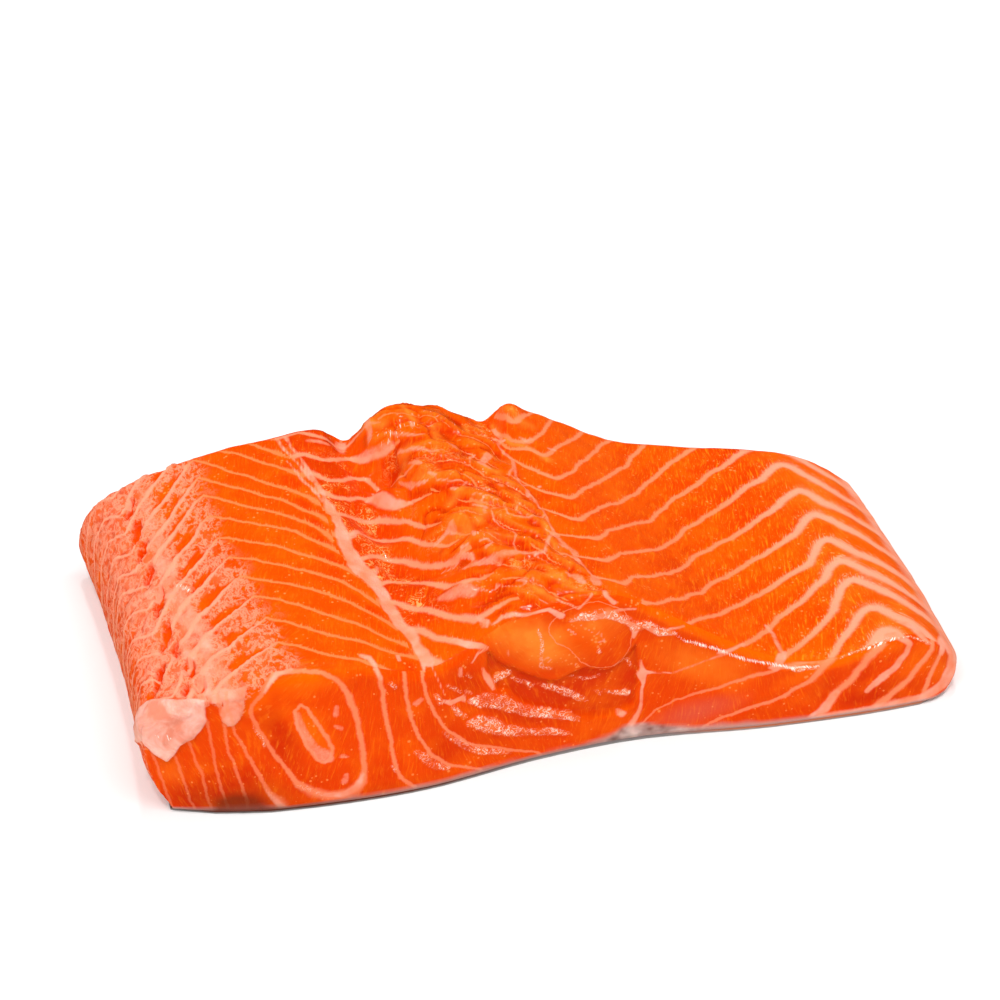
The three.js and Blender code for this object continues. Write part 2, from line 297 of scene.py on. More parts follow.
# The rise from the turn to the ridge, then y at the turn, at 15, 25, 35, 45, 55 and at the second apex.
RIGHT_LINES = [
    (9, 36, 51, 72, 84, 93, 99, 102), (9, 28, 43, 63, 76, 85, 92, 95), (9, 21, 34, 52, 66, 76, 83, 86),
    (9, 16.3, 25, 42, 56, 66, 73, 76), (9, 8.3, 16.2, 33, 46, 56, 63, 66),
    (7.5, 1, 7.9, 22.4, 36.5, 46, 53, 56), (4.5, -6.3, 0, 12.4, 26.4, 35.6, 43, 46),
    (1.4, -13, -7.7, 2.6, 16.2, 25.6, 34.2, 37.6), (1, -20.7, -15.8, -7, 6, 15.4, 24, 28.8),
    (0.8, -28.3, -24.5, -15.7, -3, 5.4, 13.3, 18.7), (0.8, -35, -33.2, -24.3, -12.7, -4, 2.8, 9.3),
    (1, -43, -41, -32.3, -21.8, -13.2, -6.9, -0.4), (1, -51, -49, -41, -32.6, -22.1, -13.8, -8.2),
    (1, -59, -57, -49.5, -41, -31.6, -22.5, -15.2), (1, -67, -65, -58, -50, -41, -30.6, -25),
    (1, -75, -73, -66, -58, -50, -39, -33)]
edge_x, turn_x = through(RIDGE_EDGE, y), through(RIGHT_TURN, y)
right_phase = phase_of(steps(x, [edge_x, turn_x] + RIGHT_GUIDES),
                       [[line[1] + line[0]] + list(line[1:]) + [line[-1] + fall for fall in RIGHT_FALL]
                        for line in RIGHT_LINES], kinked=0.2)

# On the ridge the sheets lie over each other like tiles, and their front edges show.
SHEET_GAP = 6.2
SHEET_TURN, SHEET_BEND, BEND_FROM = 0.2, 0.028, -19
bend = np.maximum(x - BEND_FROM, 0)
sheet_way = (y + SHEET_TURN * bend + SHEET_BEND * bend ** 2 + 2.4 * grain(points, 7.5, 50)
             + 0.9 * grain(points, 3.4, 51))
ridge_phase = -sheet_way / SHEET_GAP
sheet_share = ridge_phase - np.floor(ridge_phase)
WIDEST_GAP = 14.0
OUTSIDE = -3.0


def gradient_size(value):
    """How fast a value changes along the surface, for each mm: from its steps along rows and
    columns, and the lengths of those steps and the angle between them."""
    along, over = np.gradient(points, axis=0), np.gradient(points, axis=1)
    a, b = np.gradient(value, axis=0), np.gradient(value, axis=1)
    aa, bb, ab = (along ** 2).sum(-1), (over ** 2).sum(-1), (along * over).sum(-1)
    area = np.maximum(aa * bb - ab ** 2, 1e-9)
    return np.sqrt(np.maximum(bb * a * a - 2 * ab * a * b + aa * b * b, 0) / area)


def from_line(phase):
    """Distance in mm to the nearest line of a family, with a sign that changes at each line: the
    sine of pi times the phase, over pi times how fast the phase grows."""
    return np.sin(math.pi * phase) / (math.pi * np.maximum(gradient_size(phase), 1 / WIDEST_GAP))


def behind(distance, phase):
    """Distance to the nearest line of a family, above 0 behind the line and below 0 before it."""
    return -distance * np.sign(np.cos(math.pi * phase))


def both(a, b):
    """One signed distance for two sets of lines: their product over their joint size, which is zero
    on both sets."""
    return a * b / np.sqrt(a * a + b * b + 1e-6)


def near_segment(px, py, start, end):
    """The share of a straight piece that lies behind the point nearest to each place, and how far
    away that point is."""
    (ax, ay), (bx, by) = start, end
    t = np.clip(((px - ax) * (bx - ax) + (py - ay) * (by - ay)) / ((bx - ax) ** 2 + (by - ay) ** 2), 0, 1)
    return t, np.hypot(px - ax - t * (bx - ax), py - ay - t * (by - ay))


def from_loop(px, py, loop):
    """Signed distance to a closed line through points: below 0 inside, which is where a line to the
    left crosses the loop an odd number of times."""
    nearest, inside = np.full(px.shape, 1e9), np.zeros(px.shape, bool)
    for (ax, ay), (bx, by) in zip(loop, loop[1:] + loop[:1]):
        nearest = np.minimum(nearest, near_segment(px, py, (ax, ay), (bx, by))[1])
        crosses = (ay > py) != (by > py)
        inside ^= crosses & (px < ax + (py - ay) / (1e-9 if by == ay else by - ay) * (bx - ax))
    return np.where(inside, -nearest, nearest)


def stroke(px, py, soft, path):
    """How deep in a stroke each place lies, counted in its softness and at most 3 either way: half
    the width less the distance to the path. The path is points with widths: x, y, width."""
    depth = np.full(px.shape, OUTSIDE)
    for (*start, start_width), (*end, end_width) in zip(path[:-1], path[1:]):
        t, distance = near_segment(px, py, start, end)
        depth = np.maximum(depth, (mix(start_width, end_width, t) / 2 - distance) / soft)
    return np.minimum(depth, -OUTSIDE)


def strokes(px, py, table):
    """How deep each place lies in the nearest of many strokes. The table gives, for each softness,
    the paths that have it."""
    return np.max([stroke(px, py, soft, path) for soft in table for path in table[soft]], axis=0)


def ovals(px, py, table):
    """Soft ovals added up: each is how much, times the square of 1 less the square of the distance
    from its middle in half lengths and half widths. Rows: x, y, half length, half width, turn in
    degrees, how much."""
    total = 0
    for cx, cy, half, wide, turn, much in table:
        c, s = math.cos(math.radians(turn)), math.sin(math.radians(turn))
        q = (((px - cx) * c + (py - cy) * s) / half) ** 2 + (((py - cy) * c - (px - cx) * s) / wide) ** 2
        total = total + much * np.maximum(0, 1 - q) ** 2
    return total


# Lines on the cut face: x of each line at these heights. The sheets of the back muscle are nested
# cones, so they show as rings round the eye of the loin, and as arcs between it and the ridge.
fx = face_x + 0.35 * grain(points, 4.0, 8) + 0.15 * grain(points, 1.5, 9)
fz = face_z + 0.35 * grain(points, 4.0, 10) + 0.15 * grain(points, 1.5, 11)
SIDE_ARCS = ((1.5, 4, 7, 10, 14, 18, 24), (
    (-77, -78, -79, -80, -80, -80, -80), (-72.3, -72.8, -73.3, -74, -75, -76.5, -78),
    (-68.5, -69, -69.7, -70.4, -71.3, -72.5, -74), (-65.4, -65.8, -66.3, -66.9, -67.9, -68.8, -70),
    (-62.3, -62.8, -63.6, -64.25, -64.4, -64.8, -66), (-58.8, -59.1, -60.1, -60.9, -61.8, -62, -62.5),
    (-53, -54.7, -56.2, -57.2, -58.8, -60.2, -61), (-46, -48, -50, -51, -52, -54, -55)))
LOIN_ARCS = ((1.5, 4, 8, 12, 16, 20, 24, 28.5), (
    (-36, -37, -37.5, -37.5, -37.8, -38, -38.4, -39), (-28.8, -31, -32.3, -32.8, -33.2, -33.6, -34, -34.5),
    (-16, -22, -25.8, -27.6, -28.7, -29.5, -29.9, -29.4), (-4, -10, -18.3, -22.2, -24.4, -25.8, -26.6, -26),
    (8, 0, -9, -14, -18, -20, -22, -22)))
BELLY_ARCS = ((1.5, 4, 7, 10, 13, 16), (
    (2, 2, 2, 2, 20, 40), (13, 15, 17.5, 25.6, 38, 51), (26.5, 30.9, 41.5, 46.4, 48.8, 51.5),
    (48.5, 50.2, 52.2, 55, 57, 59.8), (59.5, 62.8, 65.9, 67.7, 69.8, 71), (68.8, 69.2, 70.3, 71.5, 73.5, 76),
    (78, 79, 80, 81, 82, 84)))
EYE_RING = [
    (-52, 29.3), (-50, 29.5), (-47, 29.2), (-44, 28.6), (-42, 26.6), (-40.3, 23.6), (-39, 20.6),
    (-38.4, 17), (-38.1, 12), (-37.8, 7.5), (-38.3, 4.4), (-39.6, 2.7), (-42, 2.1), (-44.6, 2.6),
    (-47.5, 3.8), (-49.7, 5.5), (-51.2, 8.4), (-52.6, 11.2), (-54.6, 14.7), (-55.9, 17.6), (-57.2, 21.4),
    (-57, 23.6), (-55.2, 25.3), (-54.5, 27.2), (-53.4, 28.6)]
EYE_HEART = [
    (-49.6, 21), (-48.6, 22.2), (-47.4, 21.2), (-45.7, 18), (-44.2, 15), (-43.3, 12.6), (-43.4, 10.4),
    (-44.6, 9.5), (-46, 10.4), (-47.6, 13.2), (-48.8, 16.4), (-49.5, 19)]
RIDGE_EYE = [
    (-3.2, 30), (-3, 28.4), (-2, 26.9), (0.4, 24.9), (2.8, 21.7), (5, 19.5), (7.5, 18.2), (9.2, 18.3),
    (11, 19.6), (12.3, 22), (12.8, 24.4), (12.4, 27), (11, 31), (6, 34), (0, 33)]


def from_arcs(heights, arcs):
    """Distance to the nearest of a set of arcs, from a phase that grows by one from arc to arc. The
    first and the last arc only give the gap beside their neighbour, and don't show."""
    phase = steps(fx, [np.interp(fz, heights, arc) for arc in arcs])
    return from_line(np.clip(phase, 0.5, len(arcs) - 1.5))


eye_ring, eye_heart, ridge_eye = (from_loop(fx, fz, loop) for loop in (EYE_RING, EYE_HEART, RIDGE_EYE))
arcs = both(from_arcs(*LOIN_ARCS), from_arcs(*BELLY_ARCS))
face_line = both(both(both(from_arcs(*SIDE_ARCS), eye_ring), arcs), both(eye_heart, ridge_eye))
left_line, ladder_line, ridge_line, right_line = (
    from_line(phase) for phase in (left_phase, ladder_phase, ridge_phase, right_phase))

# Half the width of the lines of each family, in mm.
left_half = np.interp(x, (-90, -76, -70, -65, -60, -56, -50, -38),
                      (0.35, 0.3, 0.3, 0.55, 0.5, 0.3, 0.28, 0.38))
left_half = left_half + 0.25 * ease(3, 0, valley_x - x)
ladder_half = np.interp(beyond, (0, 2, 4, 12, 17, 20), (0.8, 0.6, 0.5, 0.5, 0.4, 0.2))
ladder_half = ladder_half + 0.14 * ease(-10, -20, y)
ridge_half = np.clip(0.05 + 0.25 * grain(points, 4.0, 52), 0, 0.22)
right_half = 0.3 * np.exp(-((x - turn_x) / 1.6) ** 2) + np.interp(
    x, (1, 9, 12, 30, 40, 50, 58, 65, 72, 76, 82),
    (0.3, 0.36, 0.38, 0.42, 0.48, 0.6, 0.85, 1.15, 1.3, 1.3, 0.7))
face_half = np.interp(
    fx, (-78, -60, -57, -52, -38, -33, -26, -10, 14, 24, 32, 45, 50, 60, 66, 72),
    (0.26, 0.28, 0.34, 0.38, 0.5, 0.38, 0.32, 0.25, 0.2, 0.25, 0.36, 0.45, 0.7, 0.8, 0.6, 0.5))
for loop_line, thinner in ((eye_heart, 0.25), (ridge_eye, 0.55)):
    face_half = face_half * (1 - thinner * ease(1.2, 0.4, np.abs(loop_line)))
face_half = face_half + 0.5 * ease(8, 2, fz) * ease(-57, -53, fx) * ease(-36, -40, fx)

# Which family draws the lines at a place. The lines of a cut reach 4.5 mm over the edge at the loin,
# and 0.5 mm elsewhere.
LEFT, LADDER, RIDGE, RIGHT, CUT = range(5)
LADDER_WIDTH = 19.5
on_face = ~on_outside | ((from_first < 4.5) & (eye_ring < 0.9) & (fx < -37)) | (from_cut < 0.5)
on_top = np.select([x < valley_x, beyond < LADDER_WIDTH, x < edge_x], [LEFT, LADDER, RIDGE], RIGHT)
family = np.where(on_face, CUT, on_top)
lines = np.stack([left_line, ladder_line, ridge_line, right_line, face_line])
halves = np.stack([left_half, ladder_half, ridge_half, right_half, face_half])
# How ragged the back edge of a line is, with the sign that its distance has there.
turns = np.stack([ragged * np.clip(3 * np.cos(math.pi * phase), -1, 1) for phase, ragged in (
    (left_phase, 0.8), (ladder_phase, 0.4), (ridge_phase, 0), (right_phase, 0.8), (ridge_phase, 0))])

# Fat that lies between the muscles, and where it shows: the thick band along the valley, thin shreds
# on the ridge, the whole edge of the belly, and marks on the cut. A few marks are painted highlights: a
# wet facet on the ridge, the wet strip along the top edge of the cut and a shine on the tongue. The tables
# give x, y, width by softness; on the cut y is height.
THICK_BAND = [
    (-34.5, 12.5, 0.9), (-33.6, 8.5, 1.8), (-33.2, 5, 1.7), (-32.9, 2, 2.4), (-32.8, -4, 3.3),
    (-32.3, -7, 3.6), (-31, -9.5, 3.6), (-29.8, -12, 2.8), (-28.8, -16, 2.4), (-28, -21, 2.6),
    (-26.6, -26, 1.9), (-25.7, -29, 1.8), (-25.2, -32, 2.4), (-25.2, -34.5, 2.2)]
FAT_ON_TOP = {
    0.45: [THICK_BAND],
    0.3: [[(-24, 17.6, 1.5), (-23.7, 15.6, 1.5)]],
    0.35: [[(-40.2, 35, 0.5), (-38.3, 26, 0.5), (-37, 21.5, 0.6), (-35.5, 16, 0.5), (-34.3, 11, 0.6)],
        [(-38.6, 35, 0.5), (-37, 26, 0.6), (-36.1, 21, 0.7), (-35.3, 16.5, 0.5), (-34.5, 12, 0.6)],
        [(-40, 26.5, 0.3), (-38.2, 20.8, 0.6), (-37, 16.5, 0.5), (-35.2, 12, 0.5)],
        [(-26.6, 14, 0.6), (-24.4, 11.8, 1.6), (-21.6, 9, 1.1), (-18.6, 6.8, 0.5)]]}
RIDGE_MARKS = {
    0.25: [[(-15.5, 27.8, 0.3), (-12.8, 26.1, 0.2), (-10.1, 25.3, 0.2)],
        [(-9.6, 18.3, 0.3), (-9, 18.7, 0.4), (-8.3, 18, 0.3), (-8.9, 17.3, 0.3), (-9.6, 18.3, 0.3)],
        [(-6.6, 17, 0.4), (-5, 16.5, 0.3), (-6.2, 14.9, 0.3), (-7, 11.5, 0.2), (-8.5, 11.6, 0.1)],
        [(-14.3, 7.2, 0.3), (-11.6, 5.7, 0.4), (-8.9, 5.5, 0.3), (-5.5, 3.8, 0.3), (-3.7, 2.8, 0.2)],
        [(-8.9, 5.5, 0.3), (-10, 3.8, 0.2)], [(-8.9, 0.2, 0.2), (-4.7, -1.9, 0.3)],
        [(-7.4, -5.2, 0.2), (-6.6, -7.5, 0.3), (-5.5, -9.4, 0.3), (-3.9, -11.7, 0.4),
         (-3.9, -13.6, 0.3), (-4.9, -15.5, 0.3), (-5.1, -19, 0.3)],
        [(-0.5, -1.3, 0.2), (-1.6, -4, 0.4), (-2.4, -5.9, 0.3)],
        [(-4.3, -4.8, 0.4), (-4.3, -7.1, 0.3), (-2.4, -7.7, 0.3), (-0.1, -7.5, 0.3), (2.2, -6.7, 0.8)],
        [(1.7, 0.2, 0.3), (3, -2.1, 0.4), (3.6, -3.2, 0.3), (3.4, -5.2, 0.3), (2.2, -7.1, 0.3)],
        [(-17.8, -13.2, 0.3), (-15.8, -14, 0.5), (-13.9, -13.6, 0.4), (-12.6, -15.9, 0.8)],
        [(-5.5, -19, 0.4), (-3.2, -19, 0.5), (-0.5, -19.4, 0.4), (0.7, -17.5, 0.4), (1.5, -15.5, 0.7),
         (2.6, -13.6, 0.5)], [(-2.4, -19.4, 0.3), (-0.9, -21.3, 0.3), (-0.1, -23.2, 0.2)],
        [(4.9, -22.5, 0.3), (5.7, -25.2, 0.3), (6.5, -27.5, 0.3)],
        [(-10, -24.4, 0.3), (-8.5, -26, 0.3), (-6.6, -28.6, 0.3), (-5, -27.5, 0.2)],
        [(-14.5, -23.4, 0.6), (-12.8, -23.6, 0.4), (-11.6, -24.6, 0.3), (-10, -24.8, 0.2)]],
    0.3: [[(-19.5, 25.5, 0.3), (-18.7, 23.8, 0.4), (-17, 22.4, 0.5), (-15.1, 21.8, 0.5),
         (-13.5, 21.5, 0.3)], [(-19.9, 13.4, 0.3), (-18.2, 9.5, 0.8), (-15.8, 8.4, 0.4)],
        [(-15.2, 10, 0.8), (-14.3, 8.2, 0.5)], [(2.3, 6.4, 0.6), (3.2, 6.8, 0.3)],
        [(5.1, 6.1, 0.7), (5.2, 6, 0.7)],
        [(2.2, 14.9, 1), (1.5, 12.6, 0.5), (0.7, 10.3, 0.3), (1.5, 7.2, 0.4)],
        [(-10.9, -9.4, 0.6), (-11.2, -12, 0.7)], [(-13.6, -12.4, 0.8), (-12.8, -12.7, 0.7)],
        [(-10.6, -13.6, 0.4), (-9.2, -13.9, 0.5), (-8.6, -15, 0.3), (-10, -15.6, 0.8)],
        [(1.5, -20.2, 0.3), (3.4, -20.5, 0.6)]],
    0.35: [[(1.8, 30.5, 0.6), (2.1, 26, 0.7), (0.6, 22, 0.5), (2.4, 16.4, 0.9), (2, 12.6, 0.4),
         (1.6, 4, 0.5), (2.8, -1, 0.6), (3.4, -3.5, 0.4), (3.5, -9, 0.4), (4, -12.6, 0.7),
         (5.2, -18.4, 0.8), (5.2, -23, 0.8), (6, -27, 0.5)],
        [(-14.6, -16.6, 0.5), (-10, -17.6, 0.9), (-6, -19, 0.8), (-3, -19, 0.4), (0, -19.2, 0.5)],
        [(-17, -12, 0.5), (-14.4, -13.4, 1), (-12.6, -15, 0.8)],
        [(-17.6, -7, 0.3), (-14.4, -6.6, 0.8), (-13.8, -6, 0.8)],
        # The path from (-17.5, 16) to (-16, 12.5), below, is a painted highlight on a wet facet.
        [(-18.5, 20.7, 0.8), (-17.8, 19.5, 0.6), (-15.1, 17.6, 0.4), (-13.5, 16.5, 0.3),
         (-10.1, 15.7, 0.2)], [(-17.5, 16, 0.4), (-16.8, 14.4, 1.2), (-16, 12.5, 0.5)],
        [(-11.6, 3.9, 0.9), (-11.2, 3.2, 0.8)], [(-2.7, 5.3, 0.8), (-2.6, 4.6, 0.7)],
        [(2.2, 4.2, 0.7), (1.5, 1.1, 0.6)], [(0, 24.5, 0.7), (2.2, 24.5, 0.8)],
        [(-8.9, -1.3, 0.5), (-7.4, -2.8, 0.9), (-8.5, -5.2, 0.4)], [(-14.6, -6.6, 0.8), (-13.8, -7.2, 1)],
        [(-14.3, -17, 0.5), (-11.6, -17.5, 1.2), (-10, -18.2, 0.9), (-7.8, -19.8, 0.3)],
        [(-6.2, -26.2, 0.5), (-5.4, -26.9, 1)]],
    0.4: [[(-29, 5, 0.3), (-31, 2, 1.2), (-32.5, 1, 1.5)],
        [(-28.3, -6.5, 0.3), (-29.6, -8.5, 1), (-31, -10, 1.4)],
        [(6.5, -27.6, 0.5), (6.9, -29, 1.6), (6.6, -30.6, 0.6)], [(2, -26.6, 0.4), (4.6, -30, 1.2)],
        [(7.6, -32.6, 0.6), (8.6, -35, 1)], [(-6.4, -26.2, 0.6), (-5.4, -27, 0.9)],
        [(5, 23.4, 0.2), (6, 21.4, 0.7), (7.4, 22, 0.6)], [(10.2, 19.4, 0.9), (11.4, 20, 0.6)],
        [(-2.4, 16.4, 1.6), (-4.4, 13.6, 1.2), (-3, 11, 0.6)], [(-9, 18, 1), (-8.4, 17, 0.6)],
        [(-15.5, 27.6, 0.5), (-15.5, 25, 0.8), (-15.8, 23.8, 0.4)], [(3.3, -12, 1), (4.3, -12.4, 0.8)],
        [(3.8, -16, 0.6), (5.6, -18.6, 1.2), (4.9, -22, 0.6)], [(7.3, -28, 1), (7.2, -30.5, 0.8)],
        [(2, -26.6, 0.4), (4.4, -28.8, 1)]],
    0.45: [[(-17, -27.6, 0.6), (-14.6, -30.6, 0.7), (-14, -33, 0.9)],
        [(41, -34, 1), (41.2, -31, 0.8), (41.4, -28, 0.6), (40.8, -25.4, 0.9)]],
    0.5: [[(-26.6, 28, 0.8), (-23.5, 25.2, 1.2), (-20, 23.4, 1)],
        [(-27.2, 36, 1), (-27.8, 33, 1.6), (-29, 29.5, 0.4)],
        [(-22.6, 36, 0.6), (-22.4, 33, 1), (-22.8, 27, 0.8)],
        [(-34.4, 31.2, 0.8), (-32.4, 31, 1.2), (-30.6, 30.4, 0.6)]],
    0.6: [[(-19.4, -20.6, 1), (-17, -22.2, 1.8), (-14.2, -23.6, 1)]]}
MARKS_ON_FACE = {
    0.25: [[(-10.6, 26.9, 0.4), (-10.4, 25.9, 0.5)],
        [(-4.1, 23.5, 0.3), (-3.3, 24.1, 0.6), (-2.6, 23.4, 0.3), (-3.2, 22.8, 0.4)]],
    0.3: [[(-19.6, 24.7, 0.6), (-19.6, 23.2, 0.8)], [(-18.6, 19.6, 0.5), (-17.5, 18.6, 0.4)]],
    0.4: [[(-42, 20.8, 0.6), (-42.3, 19.4, 1.1)], [(-42.6, 17.2, 0.5), (-41.6, 16.6, 0.8)],
        [(-41.7, 10.5, 0.7), (-40.8, 10.1, 0.4)], [(-41.1, 6.3, 0.6), (-41.5, 4.9, 1.2)],
        [(-27.9, 19.2, 0.9), (-27, 19.8, 0.8)]],
    0.5: [[(-49.3, 20.2, 1.1), (-48.3, 16.6, 1.5), (-46.7, 13.2, 1.6), (-45, 11.4, 2.6), (-44, 10.4, 2)]]}
FAT_AND_HIGHLIGHTS_ON_FACE = {
    0.2: [[(2.8, 29.5, 0.15), (5, 27.6, 0.2), (7.4, 25.8, 0.15)],
        [(6, 28.6, 0.1), (7, 26.4, 0.2), (7.6, 24.6, 0.1)], [(6.2, 25.2, 0.3), (7.8, 25.4, 0.2)]],
    0.25: [[(-24.6, 27, 0.3), (-23.4, 22.4, 0.3), (-22.6, 19.9, 0.2)],
        [(-14.5, 27.7, 0.3), (-16.3, 27, 0.4), (-17.4, 25.3, 0.2)],
        [(-1.3, 35.8, 0.4), (2.8, 32.9, 0.4), (5.3, 35.3, 0.3)], [(0.6, 28.6, 0.4), (1.8, 27.6, 0.5)],
        [(6.3, 23.2, 0.3), (6.6, 22.6, 0.6)], [(2, 21.2, 0.3), (2.1, 20.4, 0.4)],
        [(14.3, 19, 0.3), (14.5, 16.8, 0.7), (14.6, 15.4, 1.7), (15, 13.4, 0.6), (14.6, 9, 0.5),
         (13.8, 5.4, 0.8)], [(14.8, 15.8, 1), (17, 15.7, 0.4), (20.4, 15.2, 0.3)]],
    # The first mark at 0.3 is a painted highlight on the tongue.
    0.3: [[(-61.5, 24, 0.6), (-62.2, 22.2, 0.9)],
        [(-29.5, 31.5, 1.4), (-29.8, 30.2, 0.9), (-29.9, 28.6, 0.6)],
        [(-24.3, 33.3, 0.7), (-19.7, 30.8, 1), (-17.8, 29.3, 1.5), (-15.6, 28.4, 1.2), (-14.2, 28, 0.3)],
        [(-19.7, 35, 0.6), (-15.5, 34.5, 0.8), (-13.7, 33.4, 0.8), (-14, 32.4, 0.4)],
        [(-13, 32.8, 0.3), (-11.3, 33.9, 0.6), (-5.5, 33.7, 0.6), (-3, 33.9, 0.9), (-0.8, 31.8, 1.2)],
        [(-23, 18.8, 0.5), (-21.4, 17.7, 1.1), (-19.2, 18.2, 1.1), (-18.8, 17.2, 0.5)],
        [(-15.4, 23.8, 0.4), (-14.6, 21.4, 1.3), (-13.5, 18.6, 0.6)],
        # This path and the next are a painted highlight along the top edge of the cut.
        [(1, 30.4, 0.4), (2.8, 31.1, 0.9), (5.3, 30.8, 1.1), (7.8, 30.7, 1.1), (9.9, 29.4, 0.9),
         (11.4, 28.3, 0.8), (13.2, 26.9, 1.6), (13.1, 24.6, 0.6)],
        [(14.8, 26.8, 0.9), (17.8, 24.6, 1), (20.4, 24, 0.3)], [(7.5, 35.2, 0.7), (9.2, 33, 0.9)],
        [(7.6, 31.2, 0.5), (10.4, 31.2, 0.5), (13.2, 30.9, 0.45)],
        [(18.2, 24.9, 0.5), (20, 25.3, 0.5), (22.4, 25.8, 0.45)]],
    0.35: [[(-54.6, 25.7, 0.5), (-53.3, 28, 0.8), (-51.7, 29.4, 0.8), (-49.2, 29.8, 0.5)],
        [(-64.6, 29.8, 1), (-64, 25.4, 0.7)],
        [(-36.8, 30.8, 0.5), (-35.3, 30, 0.9), (-34.6, 28.6, 0.7), (-34, 25, 0.4)],
        [(-25.2, 33, 2.2), (-25.2, 30.3, 2.3), (-25.8, 27.6, 0.8), (-26.1, 26, 0.4)],
        [(11.6, 11.8, 0.8), (12, 10.8, 1)], [(28.6, 18.8, 0.6), (30.4, 18.9, 0.8), (34, 20.3, 0.5)]],
    0.4: [[(-52.6, 1, 1.2), (-54.4, 3, 0.8), (-55.4, 5, 0.2)],
        [(-46.6, 3.4, 0.6), (-42, 2, 1), (-39.2, 3.2, 1.2), (-38.2, 6, 0.5)],
        [(38.2, 14.2, 0.6), (39.6, 13.8, 1.6), (41, 16.4, 1.8), (42, 17.2, 0.6)],
        [(57.6, 5.9, 1.2), (60, 8, 1.5), (62.8, 10.7, 1.3), (64.6, 13.2, 1.1), (64.9, 15.2, 1.2),
         (63, 17.4, 1.6), (61.2, 17.6, 1.8)]],
    0.5: [[(20.4, 15.2, 0.1), (26, 17, 0.1), (30, 18.4, 0.4)], [(10.4, 7.2, 0.6), (11.4, 6.6, 1.2)],
        [(46.4, 1.6, 0.4), (49.4, 3.4, 2.6), (51.6, 6.4, 1.4)],
        [(69, 14.8, 1), (66.6, 18.4, 1.2), (64.6, 20.6, 1.2)],
        [(14.4, 7, 0.6), (13.2, 4.4, 1), (12.4, 2.6, 1.6), (11.6, 1, 2.6)]],
    0.6: [[(72.6, 11.6, 2), (75, 14, 3)],
        [(47, 1.4, 0.6), (60, 1.5, 1), (69, 1.8, 1.4), (73.6, 3.2, 3.2), (75.6, 6.2, 3.8),
         (76.2, 9.4, 3.6), (75, 12.4, 3), (72.6, 14, 1.8)]]}
# Paler muscle that fat shines through, in broad soft marks.
SOFT_ON_TOP = {
    0.6: [[(1.7, 32.2, 0.4), (2.2, 27.2, 0.7), (3.4, 22.6, 0.9), (5.7, 18.8, 1), (9, 14.2, 0.5)]],
    0.8: [[(-3.2, 17, 0.8), (0, 16.2, 1.6), (1.5, 15, 0.8)], [(-4.3, 28.4, 0.6), (-4.4, 25.3, 1.6)],
        [(-15.8, 35, 0.6), (-13.9, 27.6, 0.8)],
        [(-4.7, -28.2, 0.8), (-3.2, -30.5, 1.6), (-1.6, -33.2, 1.2)],
        [(-1.2, -26.3, 1.2), (1, -27.9, 1.2), (2.2, -29.4, 0.6)],
        [(0.7, -29.4, 0.4), (3.8, -31.7, 0.8), (6, -32.9, 0.8)]],
    1: [[(-11.6, 25, 1), (-10.9, 20.3, 1.6)], [(-5.5, 14.2, 0.6), (-3.6, 11.6, 2.6), (-1.6, 10.6, 1)],
        [(2.4, -8, 1), (2.6, -16, 1.2), (3.2, -24, 1.2)], [(0, 3, 1), (-1.4, -3, 0.6)],
        [(-1, 10, 0.5), (-0.6, 5, 0.8)]],
    1.2: [[(-18, 11, 1), (-14, 9, 2)], [(-10, 3, 2), (-13, 1, 1)], [(-8, -2, 2), (-9.5, -7, 1.5)],
        [(-9, -12, 1.5), (-7, -15, 0.8)], [(-5.5, -21, 1), (-5.4, -24.4, 0.6)],
        [(8.6, 16, 1.2), (9, 15, 1.4)]],
    1.4: [[(-23, 33, 1.5), (-20, 29.5, 1)], [(-17.5, 20, 1.5), (-19, 16, 0.5)],
        [(-16.6, -7.8, 1.2), (-12, -8.6, 2)]],
    1.6: [[(4.6, 33, 0.5), (7.4, 27, 2)]]}
